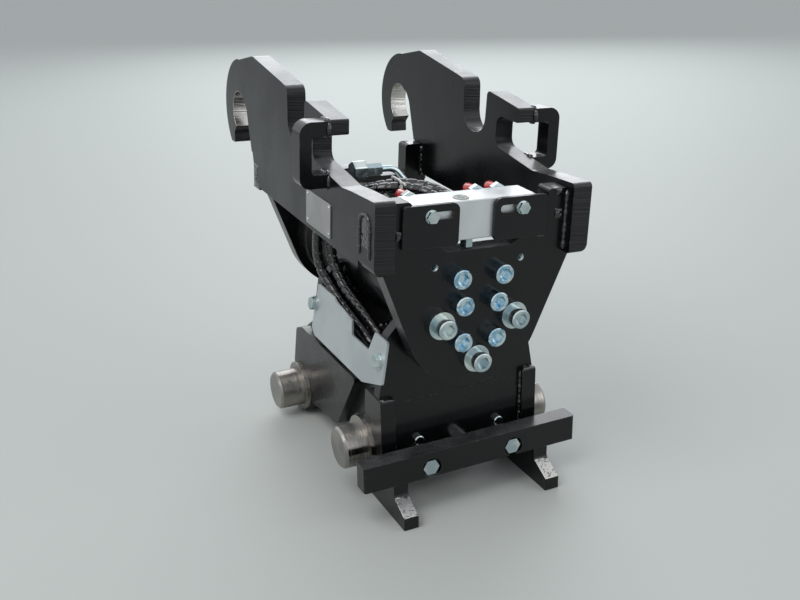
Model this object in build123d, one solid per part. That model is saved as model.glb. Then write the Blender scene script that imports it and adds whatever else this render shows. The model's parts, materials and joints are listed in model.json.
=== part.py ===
from build123d import *
from math import acos, atan2, cos, radians, sin, sqrt, tan
import os

# Tilting quick coupler for an excavator.
# A fixed lower coupler carries two cross pins, a locking beam with two wedges and a rotary
# actuator. The tilting bracket above it is bolted to both ends of the actuator's shaft. Two
# hook plates take the pins of the machine above.
# The model is drawn with X = 0 on the tilt axis, Y = 0 on the front face of the front end
# plate and Z = 0 on the ground. The finished parts are moved so that the origin is at the
# middle of the underside. Bracket pieces are drawn level, with heights from the tilt axis.

# Tilt axis
AXIS_Z = 250.0
REST_TILT = 3.1

# Hook plates, as (Y, height above the axis)
PLATE_GAP = 230.0
PLATE_T = 25.0
PLATE_NOSE_Y = -14.0
RAIL_TOP = 157.0
RAIL_BOTTOM = 71.0
SADDLE_Y = 231.5
SADDLE_H = 199.0
SADDLE_R = 28.0
HOOK_Y = 468.5
HOOK_H = 169.0
HOOK_R = 28.0
HOOK_OUTER_R = 70.5
EAR_Y = 119.0
POCKET_BACK_Y = 172.0
POCKET_TOP = 202.5
EAR_TOP = 221.0
BACK_TOP = 256.0
TAIL_Y = 405.0
NOSE_ROUND = 11.0
NOSE_ROUND_END_Y = 30.0

# Wedge loops beside the hook plates
LOOP_REACH = 36.4
LOOP_LEG = 15.0
LOOP_ARM = 16.5
LOOP_T = 25.0
LOOP_WINDOW_H = 45.0

# End plates of the bracket
END_T = 25.0
FRONT_END_Y = 0.0
REAR_END_Y = 385.0
END_FOOT_R = 89.5
END_FOOT_H = 4.0
END_TAPER_HALF = 124.0
FRONT_CUT_H = 98.0
FRONT_CUT_HALF = 89.0
TROUGH_HALF = 58.0
TROUGH_RAMP = 15.0
TROUGH_DEPTH = 11.0
FRONT_SHOULDER_H = 150.0
REAR_CUT_H = 78.0
REAR_TAB_H = 122.0
TENON_H = 36.0
TENON_SINK = 2.0
TAPPED_X = 57.0
TAPPED_H = 69.5
TAPPED_R = 4.25
TAPPED_DEPTH = 20.0

# Screws
SCREW_D = 16.0
SCREW_HEAD_D = 24.0
SCREW_HEAD_H = 16.0
SCREW_SOCKET = 14.0
SCREW_SOCKET_DEPTH = 8.0
SCREW_GRIP = 13.0
SCREW_PLAY = 0.7
INNER_SCREW_XH = 22.6
TOP_SCREW_X = 27.9
TOP_SCREW_H = 56.3
OUTER_SCREW_R = 48.5
COLLAR_D = 34.0
COLLAR_T = 8.4

# Rotary actuator
HOUSING_R = 62.0
HOUSING_BORE_R = 50.0
SHAFT_R = 30.0
HUB_R = 75.0
HUB_T = 16.0
HUB_GAP = 1.0
BEARING_L = 24.0
SLEEVE_L = 84.0
SLEEVE_LEAD = 90.0
RUNNING = 0.05

# Lower coupler
PIN_R = 27.5
PIN_SEAT_R = 29.0
PIN_HALF = 146.5
PIN_CHAMFER = 3.0
FRONT_PIN_Y = 91.3
FRONT_PIN_Z = 66.8
REAR_PIN_Y = 337.0
REAR_LOBE_R = 38.3
FRONT_LOBE_R = 38.0
PIN_FIT = 0.05
PIN_COLLAR_R = 36.0
PIN_COLLAR_T = 6.5
WEB_FACE_X = 90.0
WEB_T = 12.0
CHEEK_T = 15.0
CHEEK_TOP = 137.0
BLOCK_T = 20.0
BLOCK_FRONT_Y = 37.7
BLOCK_BACK_Y = 84.0
DECK_TOP = 146.0
DECK_T = 12.0
FRAME_T = 16.0
FRONT_FRAME_Y = 45.0
REAR_FRAME_Y = 257.0
FRAME_HALF = 108.5
FRAME_LEAN = 9.7
FRAME_SEAT_WALL = 10.0
FRONT_PLATE_TOP = 137.0
FRONT_PLATE_BOTTOM = 40.0

# Cover sheet on the left side
COVER_T = 3.0
COVER_BOTTOM = 151.0
COVER_H = 73.0
COVER_FRONT_Y = 38.0
COVER_BACK_Y = 269.0
COVER_BOLT_R = 5.0

# Locking beam, wedges and cylinder
BEAM_HALF = 149.0
BEAM_Y = 3.2
BEAM_T = 24.0
BEAM_BOTTOM = 48.0
BEAM_H = 34.2
WEDGE_IN = 90.6
WEDGE_W = 19.2
WEDGE_H = 32.0
WEDGE_TIP_Y = -23.7
WEDGE_TIP_H = 17.0
WEDGE_BACK_Y = 118.0
WEDGE_PLAY = 1.0
GUIDE_X = 58.0
GUIDE_Z = 60.0
GUIDE_R = 10.0
ROD_R = 14.0
LOCK_Z = 66.0
LOCK_STROKE = 50.0
BARREL_R = 33.0
BARREL_WALL = 8.0
BARREL_L = 150.0
GLAND_L = 18.0
CYLINDER_SCREW_X = 57.0
CYLINDER_SCREW_Z = 80.0
CYLINDER_SCREW_R = 6.5

# Valve block and its brackets
VALVE_X = -8.0
VALVE_W = 160.0
VALVE_DEPTH = 42.0
VALVE_BOTTOM = 99.0
VALVE_H = 47.0
VALVE_BRACKET_W = 71.0
VALVE_BRACKET_REACH = 14.0
VALVE_BRACKET_T = 5.0
VALVE_BRACKET_LAP = 2.5
PORT_CAP_R = 7.5
PORT_CAP_DROP = 5.0
PORT_CAP_PLACES = (-64.0, 25.0, 54.0)
DRAIN_R = 7.0
DRAIN_L = 10.0
SLOT_L = 24.0
SLOT_W = 9.0
SLOT_X = -11.5
SLOT_LIFT = 12.0

# Supply pipe's coupling
SUPPLY_X = -76.0
SUPPLY_Y = 160.0
SUPPLY_H = 148.0
SUPPLY_PIPE_D = 8.0
SUPPLY_NUT_R = 11.0
SUPPLY_NUT_L = 18.0

# Rating plate
RATING_Y = 111.0
RATING_H = 80.0
RATING_W = 80.0
RATING_TALL = 43.0
RATING_T = 1.5

# Hoses
HOSE_D = 13.0
HOSE_SIDE = FRAME_HALF - 8.5
HOSE_TOP_SIDE = PLATE_GAP / 2 - 13
HOSE_DIP = 31.0


def face_on(plane, points):
    """A face from (a, b, corner radius) points in the plane's own directions."""
    radii = [r for a, b, r in points]
    outline = FilletPolyline(*[(a, b) for a, b, r in points], radius=radii, close=True)
    return plane * make_face(outline)


def slab_x(points, x_low, x_high):
    """A plate across X with its outline given as (Y, Z, corner radius)."""
    plane = Plane((x_low, 0, 0), x_dir=(0, 1, 0), z_dir=(1, 0, 0))
    return extrude(face_on(plane, points), x_high - x_low)


def slab_y(points, y_low, y_high):
    """A plate across Y with its outline given as (X, Z, corner radius)."""
    plane = Plane((0, y_low, 0), x_dir=(1, 0, 0), z_dir=(0, -1, 0))
    return extrude(face_on(plane, points), y_low - y_high)


def bar_x(radius, x_low, x_high, y, z):
    """A round bar along X."""
    return Pos((x_low + x_high) / 2, y, z) * Rot(0, 90, 0) * Cylinder(radius, x_high - x_low)


def bar_y(radius, y_low, y_high, x, z):
    """A round bar along Y."""
    return Pos(x, (y_low + y_high) / 2, z) * Rot(90, 0, 0) * Cylinder(radius, y_high - y_low)


def block(x_low, x_high, y_low, y_high, z_low, z_high):
    """A box between two corners."""
    size = Box(x_high - x_low, y_high - y_low, z_high - z_low)
    return Pos((x_low + x_high) / 2, (y_low + y_high) / 2, (z_low + z_high) / 2) * size


def mirrored(part):
    """The same piece on the other side of the middle plane."""
    return part.mirror(Plane.YZ)


def hook_plate():
    """The right hook plate, with the saddle, the hook and the slots for the end plates."""
    x_in = PLATE_GAP / 2
    x_out = x_in + PLATE_T
    saddle_low = SADDLE_H - SADDLE_R
    tail_run = HOOK_H - 58 - (RAIL_BOTTOM + 6)
    outline = [
        (PLATE_NOSE_Y, RAIL_BOTTOM, 4), (PLATE_NOSE_Y, RAIL_TOP, 6), (PLATE_NOSE_Y + 64, RAIL_TOP - 3, 40),
        (PLATE_NOSE_Y + 94, RAIL_TOP - 5.5, 25), (EAR_Y - 9, RAIL_TOP - 1.5, 40), (POCKET_BACK_Y, RAIL_TOP + 7, 13),
        (POCKET_BACK_Y, POCKET_TOP + 1, 13), (EAR_Y, POCKET_TOP, 3), (EAR_Y, EAR_TOP, 3),
        (POCKET_BACK_Y - 4, EAR_TOP + 6.5, 30), (SADDLE_Y - SADDLE_R - 3.5, EAR_TOP + 10.5, 7),
        (SADDLE_Y - SADDLE_R - 0.2, saddle_low, 25), (SADDLE_Y + SADDLE_R + 0.2, saddle_low, 25),
        (SADDLE_Y + SADDLE_R + 3.5, EAR_TOP + 15, 12),
        (SADDLE_Y + SADDLE_R + 30.5, BACK_TOP - 15.5, 12), (TAIL_Y - 3, BACK_TOP, 18),
        (HOOK_Y - 7.5, HOOK_H + 4 + HOOK_OUTER_R, 0), (HOOK_Y - 7.5, HOOK_H, 0),
        (TAIL_Y + 14, HOOK_H - 22, 0), (TAIL_Y, HOOK_H - 58, 10), (TAIL_Y - 4, RAIL_BOTTOM + 6, 1.1 * tail_run),
    ]
    part = slab_x(outline, x_in, x_out)
    part += bar_x(HOOK_OUTER_R, x_in, x_out, HOOK_Y - 7.5, HOOK_H + 4)
    mouth = [
        (HOOK_Y - 5, HOOK_H + 25, 0), (HOOK_Y - 25, HOOK_H + 21, 8), (HOOK_Y - 36, HOOK_H + 8, 10),
        (TAIL_Y + 6, HOOK_H - 51, 12), (TAIL_Y, HOOK_H - 61, 4), (TAIL_Y, RAIL_BOTTOM - 11, 0),
        (HOOK_Y + HOOK_OUTER_R, RAIL_BOTTOM - 11, 0), (HOOK_Y + HOOK_OUTER_R, HOOK_H - 50, 0),
        (HOOK_Y + 21.5, HOOK_H - 50, 3), (HOOK_Y + 23.5, HOOK_H - 35, 4),
        (HOOK_Y + 15.5, HOOK_H - 26.5, 0), (HOOK_Y, HOOK_H, 0),
    ]
    part -= slab_x(mouth, x_in - 1, x_out + 1)
    part -= bar_x(HOOK_R, x_in - 1, x_out + 1, HOOK_Y, HOOK_H)
    part -= bar_x(SADDLE_R, x_in - 1, x_out + 1, SADDLE_Y, SADDLE_H)
    for y_low, h_low in ((FRONT_END_Y, tenon_low(FRONT_SHOULDER_H)), (REAR_END_Y, tenon_low(REAR_TAB_H))):
        part -= block(x_in - 1, x_out + 1, y_low, y_low + END_T, h_low, h_low + TENON_H)
    round_edge = block(
        x_out - NOSE_ROUND, x_out + 1, PLATE_NOSE_Y - 1, NOSE_ROUND_END_Y, RAIL_BOTTOM - 1, RAIL_BOTTOM + NOSE_ROUND
    )
    round_edge -= bar_y(NOSE_ROUND, PLATE_NOSE_Y - 2, NOSE_ROUND_END_Y + 1, x_out - NOSE_ROUND, RAIL_BOTTOM + NOSE_ROUND)
    return part - round_edge


def tenon_low(top):
    """Lower edge of a tenon, seen from the top of its end plate."""
    return top - TENON_H - 14


def wedge_loop():
    """The right wedge loop: two arms and an outer leg round a window."""
    x_in = PLATE_GAP / 2 + PLATE_T
    x_out = x_in + LOOP_REACH
    top = POCKET_TOP + LOOP_ARM + 1
    low = POCKET_TOP - LOOP_WINDOW_H - LOOP_ARM
    frame = slab_y([(x_in, low, 0), (x_out, low, 13), (x_out, top, 15), (x_in, top, 0)], EAR_Y, EAR_Y + LOOP_T)
    window = [
        (x_in - 5, POCKET_TOP - LOOP_WINDOW_H, 0), (x_out - LOOP_LEG, POCKET_TOP - LOOP_WINDOW_H, 5),
        (x_out - LOOP_LEG, POCKET_TOP, 5), (x_in - 5, POCKET_TOP, 0),
    ]
    return frame - slab_y(window, EAR_Y - 1, EAR_Y + LOOP_T + 1)


def end_plate(y_low, cut_h, cut_half, top):
    """An end plate with shoulders, a wide recess, a round foot and a tenon on each side."""
    half = PLATE_GAP / 2
    rise = RAIL_BOTTOM - END_FOOT_H
    foot = atan2(rise, END_TAPER_HALF) - acos(END_FOOT_R / sqrt(END_TAPER_HALF**2 + rise**2))
    foot_x, foot_h = END_FOOT_R * cos(foot), END_FOOT_H + END_FOOT_R * sin(foot)
    outline = [
        (-END_TAPER_HALF, RAIL_BOTTOM, 0), (-half, RAIL_BOTTOM, 0), (-half, top, 3), (-cut_half, top, 5),
        (-cut_half, cut_h, 2), (cut_half, cut_h, 2), (cut_half, top, 5), (half, top, 3),
        (half, RAIL_BOTTOM, 0), (END_TAPER_HALF, RAIL_BOTTOM, 0), (foot_x, foot_h, 0), (-foot_x, foot_h, 0),
    ]
    part = slab_y(outline, y_low, y_low + END_T) + bar_y(END_FOOT_R, y_low, y_low + END_T, 0, END_FOOT_H)
    low = tenon_low(top)
    tenon_end = half + PLATE_T - TENON_SINK
    part += block(-tenon_end, tenon_end, y_low, y_low + END_T, low, low + TENON_H) - block(
        -cut_half, cut_half, y_low, y_low + END_T, cut_h, top
    )
    for x, h in all_screws():
        part -= bar_y(SCREW_D / 2 + SCREW_PLAY, y_low - 1, y_low + END_T + 1, x, h)
    return part


def front_end_plate():
    """The front end plate, with a trough under the valve block and two tapped holes."""
    part = end_plate(FRONT_END_Y, FRONT_CUT_H, FRONT_CUT_HALF, FRONT_SHOULDER_H)
    low, floor_half = FRONT_CUT_H - TROUGH_DEPTH, TROUGH_HALF - TROUGH_RAMP
    trough = [
        (-TROUGH_HALF, FRONT_CUT_H, 0), (-floor_half, low, 6), (floor_half, low, 6), (TROUGH_HALF, FRONT_CUT_H, 0),
        (TROUGH_HALF, FRONT_CUT_H + 1, 0), (-TROUGH_HALF, FRONT_CUT_H + 1, 0),
    ]
    part -= slab_y(trough, FRONT_END_Y - 1, FRONT_END_Y + END_T + 1)
    for x in (-TAPPED_X, TAPPED_X):
        part -= bar_y(TAPPED_R, FRONT_END_Y - 1, FRONT_END_Y + TAPPED_DEPTH, x, TAPPED_H)
    return part


def inner_screws():
    """Centres of the four screws close round the axis."""
    return [(sx * INNER_SCREW_XH, sh * INNER_SCREW_XH) for sh in (1, -1) for sx in (-1, 1)]


def top_screws():
    """Centres of the two upper screws."""
    return [(sx * TOP_SCREW_X, TOP_SCREW_H) for sx in (-1, 1)]


def outer_screws():
    """Centres of the three collared screws: left, bottom and right."""
    return [(OUTER_SCREW_R * cos(radians(a)), OUTER_SCREW_R * sin(radians(a))) for a in (180, 270, 0)]


def all_screws():
    """Centres of every screw in an end plate."""
    return inner_screws() + top_screws() + outer_screws()


def screw(x, h, seat_y, direction, grip):
    """A socket head screw whose head stands on seat_y and whose shank runs along direction."""
    head = Cylinder(SCREW_HEAD_D / 2, SCREW_HEAD_H, align=(Align.CENTER, Align.CENTER, Align.MIN))
    head = chamfer(head.edges().filter_by(GeomType.CIRCLE).sort_by(Axis.Z)[-1], 1.2)
    socket = extrude(RegularPolygon(SCREW_SOCKET / 2, 6, major_radius=False), SCREW_SOCKET_DEPTH)
    head -= Pos(0, 0, SCREW_HEAD_H - SCREW_SOCKET_DEPTH) * socket
    shank = Cylinder(SCREW_D / 2, grip, align=(Align.CENTER, Align.CENTER, Align.MAX))
    return Pos(x, seat_y, h) * Rot(90 * direction, 0, 0) * (head + shank)


def tilt_shaft():
    """The actuator's shaft with its front hub, tapped for the front screws."""
    hub_y = FRONT_END_Y + END_T
    part = bar_y(HUB_R, hub_y, hub_y + HUB_T, 0, 0) + bar_y(SHAFT_R, hub_y, REAR_END_Y, 0, 0)
    for x, h in all_screws():
        part -= bar_y(SCREW_D / 2 + SCREW_PLAY / 2, hub_y - 1, hub_y + SCREW_GRIP + 1, x, h)
    for x, h in inner_screws():
        part -= bar_y(SCREW_D / 2 + SCREW_PLAY / 2, REAR_END_Y - SCREW_GRIP - 1, REAR_END_Y + 1, x, h)
    return part


def rear_hub():
    """The rear hub on the shaft's end, tapped for the rear screws."""
    part = bar_y(HUB_R, REAR_END_Y - HUB_T, REAR_END_Y, 0, 0)
    part -= bar_y(SHAFT_R + RUNNING, REAR_END_Y - HUB_T - 1, REAR_END_Y + 1, 0, 0)
    for x, h in all_screws():
        part -= bar_y(SCREW_D / 2 + SCREW_PLAY / 2, REAR_END_Y - SCREW_GRIP - 1, REAR_END_Y + 1, x, h)
    return part


def tube_y(outer, inner, y_low, y_high):
    """A tube about the tilt axis."""
    return bar_y(outer, y_low, y_high, 0, 0) - bar_y(inner, y_low - 1, y_high + 1, 0, 0)


HOUSING_FRONT = FRONT_END_Y + END_T + HUB_T + HUB_GAP
HOUSING_BACK = REAR_END_Y - HUB_T - HUB_GAP
REAR_PIN_Z = REAR_LOBE_R


def frame_web():
    """The right inner web, with lobes round both pins."""
    x_in = WEB_FACE_X - WEB_T
    start = FRONT_FRAME_Y + FRAME_T
    outline = [
        (start, FRONT_PIN_Z - FRONT_LOBE_R + 6, 0), (start, DECK_TOP, 0), (REAR_PIN_Y - 19, DECK_TOP, 20),
        (REAR_PIN_Y + 9, DECK_TOP - 19, 14), (REAR_PIN_Y + REAR_LOBE_R - 8, REAR_PIN_Z + 20, 20), (REAR_PIN_Y, REAR_PIN_Z, 0),
        (REAR_PIN_Y - REAR_LOBE_R + 6, REAR_PIN_Z - 16, 0), (REAR_PIN_Y - 107, REAR_PIN_Z - 4, 40),
        (FRONT_PIN_Y + FRONT_LOBE_R - 8, FRONT_PIN_Z - 21, 30),
    ]
    part = slab_x(outline, x_in, WEB_FACE_X)
    part += bar_x(REAR_LOBE_R, x_in, WEB_FACE_X, REAR_PIN_Y, REAR_PIN_Z)
    part += bar_x(FRONT_LOBE_R, x_in, WEB_FACE_X, FRONT_PIN_Y, FRONT_PIN_Z) & block(
        x_in, WEB_FACE_X, start, REAR_PIN_Y, 0, DECK_TOP
    )
    return part - pin_bores(x_in, WEB_FACE_X)


def pin_bores(x_low, x_high):
    """The two holes that the cross pins are fixed in."""
    front = bar_x(PIN_SEAT_R + PIN_FIT, x_low - 1, x_high + 1, FRONT_PIN_Y, FRONT_PIN_Z)
    return front + bar_x(PIN_SEAT_R + PIN_FIT, x_low - 1, x_high + 1, REAR_PIN_Y, REAR_PIN_Z)


def rear_cheek():
    """The right rear cheek, outside the web."""
    x_out = WEB_FACE_X + CHEEK_T
    outline = [
        (FRONT_PIN_Y + FRONT_LOBE_R - 1, CHEEK_TOP, 4), (REAR_PIN_Y - 15, CHEEK_TOP, 16),
        (REAR_PIN_Y + 10, CHEEK_TOP - 9, 12),
        (REAR_PIN_Y + REAR_LOBE_R - 8, REAR_PIN_Z + 20, 20), (REAR_PIN_Y, REAR_PIN_Z, 0),
        (REAR_PIN_Y - REAR_LOBE_R + 4, REAR_PIN_Z - 12, 0), (REAR_PIN_Y - 97, REAR_PIN_Z - 4, 40),
        (REAR_PIN_Y - 136, REAR_PIN_Z - 1, 10),
    ]
    part = slab_x(outline, WEB_FACE_X, x_out)
    part += bar_x(REAR_LOBE_R, WEB_FACE_X, x_out, REAR_PIN_Y, REAR_PIN_Z)
    return part - pin_bores(WEB_FACE_X, x_out)


def front_block():
    """The right front block, which holds the front pin above the wedge."""
    x_out = WEB_FACE_X + BLOCK_T
    floor = WEDGE_H + WEDGE_PLAY
    outline = [
        (BLOCK_FRONT_Y, floor, 0), (BLOCK_FRONT_Y, DECK_TOP, 3), (BLOCK_BACK_Y, DECK_TOP, 3),
        (BLOCK_BACK_Y + 3, FRONT_PIN_Z + 38, 12), (FRONT_PIN_Y + FRONT_LOBE_R, FRONT_PIN_Z + 26, 22),
        (FRONT_PIN_Y + FRONT_LOBE_R, floor, 22),
    ]
    return slab_x(outline, WEB_FACE_X, x_out) - pin_bores(WEB_FACE_X, x_out)


def pin_end(x_seat, y, z):
    """A pin's right free end, thinner than the seat and chamfered at its outer end."""
    part = bar_x(PIN_R, x_seat, PIN_HALF, y, z)
    return chamfer(part.edges().filter_by(GeomType.CIRCLE).sort_by(Axis.X)[-1], PIN_CHAMFER)


def front_pin():
    """The right front pin: a stub whose seat ends at its collar's outer face."""
    x_seat = WEB_FACE_X + BLOCK_T + PIN_COLLAR_T
    seat = bar_x(PIN_SEAT_R, WEB_FACE_X - WEB_T, x_seat, FRONT_PIN_Y, FRONT_PIN_Z)
    return seat + pin_end(x_seat, FRONT_PIN_Y, FRONT_PIN_Z)


def rear_cross_pin():
    """The rear pin, in one piece from side to side."""
    x_seat = WEB_FACE_X + CHEEK_T + PIN_COLLAR_T
    end = pin_end(x_seat, REAR_PIN_Y, REAR_PIN_Z)
    return bar_x(PIN_SEAT_R, -x_seat, x_seat, REAR_PIN_Y, REAR_PIN_Z) + end + mirrored(end)


def pin_collar(x_low, y, z):
    """A thrust collar round a pin, from x_low outwards on the right side."""
    part = bar_x(PIN_COLLAR_R, x_low, x_low + PIN_COLLAR_T, y, z)
    return part - bar_x(PIN_SEAT_R + PIN_FIT, x_low - 1, x_low + PIN_COLLAR_T + 1, y, z)


def frame_plate(y_low, bottom):
    """A trapezoid plate whose half-round seat carries the actuator housing."""
    shoulder_z = DECK_TOP + COVER_H + 8
    shoulder = FRAME_HALF - (shoulder_z - DECK_TOP) * tan(radians(FRAME_LEAN))
    top = HOUSING_R + FRAME_SEAT_WALL
    outline = [
        (-WEB_FACE_X, bottom, 0), (-WEB_FACE_X, DECK_TOP, 0), (-FRAME_HALF, DECK_TOP, 0), (-shoulder, shoulder_z, 6),
        (-top, AXIS_Z, 3), (top, AXIS_Z, 3), (shoulder, shoulder_z, 6), (FRAME_HALF, DECK_TOP, 0),
        (WEB_FACE_X, DECK_TOP, 0), (WEB_FACE_X, bottom, 0),
    ]
    if bottom == DECK_TOP:
        outline = outline[2:8]
    part = slab_y(outline, y_low, y_low + FRAME_T)
    return part - bar_y(HOUSING_R + RUNNING, y_low - 1, y_low + FRAME_T + 1, 0, AXIS_Z)


def front_plate():
    """The lower front plate between the blocks, bored for the rod and the guide pins."""
    part = block(
        -WEB_FACE_X, WEB_FACE_X, FRONT_FRAME_Y, FRONT_FRAME_Y + FRAME_T, FRONT_PLATE_BOTTOM, FRONT_PLATE_TOP
    )
    part -= bar_y(ROD_R + RUNNING, FRONT_FRAME_Y - 1, FRONT_FRAME_Y + FRAME_T + 1, 0, LOCK_Z)
    for x in (-GUIDE_X, GUIDE_X):
        part -= bar_y(GUIDE_R + RUNNING, FRONT_FRAME_Y - 1, FRONT_FRAME_Y + FRAME_T + 1, x, GUIDE_Z)
    return part


def lock_barrel():
    """The lock cylinder's barrel, closed at the back and fixed behind the front plate."""
    start = FRONT_FRAME_Y + FRAME_T
    part = bar_y(BARREL_R, start, start + BARREL_L, 0, LOCK_Z)
    return part - bar_y(BARREL_R - BARREL_WALL, start - 1, start + BARREL_L - 14, 0, LOCK_Z)


def lock_gland():
    """The gland in the barrel's mouth, which guides the rod."""
    start = FRONT_FRAME_Y + FRAME_T
    part = bar_y(BARREL_R - BARREL_WALL - PIN_FIT, start, start + GLAND_L, 0, LOCK_Z)
    return part - bar_y(ROD_R + RUNNING, start - 1, start + GLAND_L + 1, 0, LOCK_Z)


def lock_rod():
    """Piston and rod in one piece, screwed to the back of the beam."""
    back = FRONT_FRAME_Y + FRAME_T + GLAND_L + LOCK_STROKE + 10
    part = bar_y(ROD_R, BEAM_Y + BEAM_T, back, 0, LOCK_Z)
    return part + bar_y(BARREL_R - BARREL_WALL - RUNNING, back, back + 26, 0, LOCK_Z)


def lock_beam():
    """The beam across both wedges, with a counterbored hole for each guide bolt."""
    part = block(-BEAM_HALF, BEAM_HALF, BEAM_Y, BEAM_Y + BEAM_T, BEAM_BOTTOM, BEAM_BOTTOM + BEAM_H)
    part = chamfer(part.edges().filter_by(Axis.Z), 2)
    for x in (-GUIDE_X, GUIDE_X):
        part -= bar_y(13, BEAM_Y - 1, BEAM_Y + 9, x, GUIDE_Z)
        part -= bar_y(6.5, BEAM_Y - 1, BEAM_Y + BEAM_T + 1, x, GUIDE_Z)
    return part


def beam_bolt(x):
    """A hex bolt in a counterbore of the beam."""
    head = extrude(RegularPolygon(9.5, 6, major_radius=False), 7.5)
    shank = Cylinder(6, BEAM_T - 9, align=(Align.CENTER, Align.CENTER, Align.MAX))
    return Pos(x, BEAM_Y + 9, GUIDE_Z) * Rot(90, 0, 0) * (head + shank)


def guide_pin(x):
    """A guide pin behind the beam, sliding in the front plate."""
    return bar_y(GUIDE_R, BEAM_Y + BEAM_T, FRONT_FRAME_Y + FRAME_T + LOCK_STROKE + 12, x, GUIDE_Z)


def lock_wedge():
    """The right wedge: a flat bar with a bevelled nose and a riser to the beam."""
    outline = [
        (WEDGE_TIP_Y, 0, 1), (WEDGE_TIP_Y, WEDGE_TIP_H, 2), (BEAM_Y + 2, WEDGE_H, 6),
        (BEAM_Y + 2, BEAM_BOTTOM, 0), (BEAM_Y + BEAM_T - 2, BEAM_BOTTOM, 0), (BEAM_Y + BEAM_T - 2, WEDGE_H, 0),
        (WEDGE_BACK_Y, WEDGE_H, 2), (WEDGE_BACK_Y, 0, 1),
    ]
    return slab_x(outline, WEDGE_IN, WEDGE_IN + WEDGE_W)


def cover_sheet():
    """The left cover sheet, leaning against the frame plates, notched for the hoses."""
    outline = [
        (COVER_FRONT_Y, 18, 3), (COVER_FRONT_Y, COVER_H, 3), (COVER_FRONT_Y + 36, COVER_H, 2),
        (COVER_FRONT_Y + 48, COVER_H - 28, 3), (COVER_FRONT_Y + 100, COVER_H - 28, 3),
        (COVER_FRONT_Y + 106, COVER_H - 10, 4), (COVER_BACK_Y - 69, COVER_H - 4, 20), (COVER_BACK_Y - 59, COVER_H, 4),
        (COVER_BACK_Y - 6, COVER_H, 3), (COVER_BACK_Y, 8, 3), (COVER_BACK_Y - 12, 0, 3), (COVER_FRONT_Y + 54, 0, 3),
    ]
    sheet = slab_x(outline, -COVER_T, 0)
    for y in cover_bolt_places():
        sheet -= bar_x(COVER_BOLT_R + 0.5, -COVER_T - 1, 1, y, COVER_H * 0.6)
    lean = Rot(0, FRAME_LEAN, 0)
    edge = FRAME_HALF - (COVER_BOTTOM - DECK_TOP) * tan(radians(FRAME_LEAN))
    return Pos(-edge, 0, COVER_BOTTOM) * lean * sheet


def cover_bolt_places():
    """Where the cover's two bolts are along Y: one in each frame plate."""
    return [FRONT_FRAME_Y + FRAME_T / 2, REAR_FRAME_Y + FRAME_T / 2]


def cover_bolt(y):
    """A hex bolt with a washer on the cover."""
    washer = Cylinder(10, 2, align=(Align.CENTER, Align.CENTER, Align.MIN))
    head = Pos(0, 0, 2) * extrude(RegularPolygon(8, 6, major_radius=False), 6)
    bolt = Rot(0, -90, 0) * (washer + head)
    edge = FRAME_HALF - (COVER_BOTTOM - DECK_TOP) * tan(radians(FRAME_LEAN))
    return Pos(-edge, 0, COVER_BOTTOM) * Rot(0, FRAME_LEAN, 0) * Pos(-COVER_T, y, COVER_H * 0.6) * bolt


def cylinder_screw(x):
    """A screw head on the front plate, above the guide pin."""
    head = bar_y(CYLINDER_SCREW_R, FRONT_FRAME_Y - 6, FRONT_FRAME_Y, x, CYLINDER_SCREW_Z)
    return chamfer(head.edges().filter_by(GeomType.CIRCLE).sort_by(Axis.Y)[0], 1)


def valve_block():
    """The aluminium valve block, with ports for the plugs and caps."""
    x_low = VALVE_X - VALVE_W / 2
    part = block(
        x_low, x_low + VALVE_W, FRONT_END_Y, FRONT_END_Y + VALVE_DEPTH, VALVE_BOTTOM, VALVE_BOTTOM + VALVE_H
    )
    part = chamfer(part.edges(), 1)
    return part - Pos(VALVE_X - 16, FRONT_END_Y + 12, VALVE_BOTTOM + VALVE_H) * Cylinder(5.5, 6)


def valve_bracket():
    """The right valve bracket: a plate in front of the block, welded on the end plate's recess."""
    x_out = VALVE_X + VALVE_W / 2 + VALVE_BRACKET_REACH
    x_in = x_out - VALVE_BRACKET_W
    low = FRONT_CUT_H - VALVE_BRACKET_LAP
    top = VALVE_BOTTOM + VALVE_H
    outline = [(x_in, low, 6), (x_out, low, 3), (x_out, top, 6), (x_in, top, 9)]
    part = slab_y(outline, FRONT_END_Y - VALVE_BRACKET_T, FRONT_END_Y)
    slot_y = FRONT_END_Y - VALVE_BRACKET_T / 2
    slot_h = (low + top) / 2 + SLOT_LIFT
    slot = Rot(90, 0, 0) * extrude(SlotCenterToCenter(SLOT_L, SLOT_W), VALVE_BRACKET_T + 2, both=True)
    return part - Pos((x_in + x_out) / 2 + SLOT_X, slot_y, slot_h) * slot


def valve_bolt():
    """The right bracket's bolt, with a washer under its head."""
    x = VALVE_X + (VALVE_W - VALVE_BRACKET_W + SLOT_L) / 2 + VALVE_BRACKET_REACH + SLOT_X
    low = FRONT_CUT_H - VALVE_BRACKET_LAP
    slot_h = (low + VALVE_BOTTOM + VALVE_H) / 2 + SLOT_LIFT
    washer = Cylinder(8, 1.6, align=(Align.CENTER, Align.CENTER, Align.MIN))
    head = Pos(0, 0, 1.6) * extrude(RegularPolygon(6.5, 6, major_radius=False), 5)
    return Pos(x, FRONT_END_Y - VALVE_BRACKET_T, slot_h) * Rot(90, 0, 0) * (washer + head)


def across_valve(part):
    """The same piece mirrored about the valve block's middle."""
    return Pos(2 * VALVE_X, 0, 0) * mirrored(part)


def port_cap(x):
    """A hex adapter with a cap behind the valve block's top edge."""
    hexagon = extrude(RegularPolygon(PORT_CAP_R + 2.5, 6, major_radius=False), 12)
    cap = Pos(0, 0, 12) * Cylinder(PORT_CAP_R, 14, align=(Align.CENTER, Align.CENTER, Align.MIN))
    return Pos(x, FRONT_END_Y + VALVE_DEPTH, VALVE_BOTTOM + VALVE_H - PORT_CAP_DROP) * Rot(-90, 0, 0) * (hexagon + cap)


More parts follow.
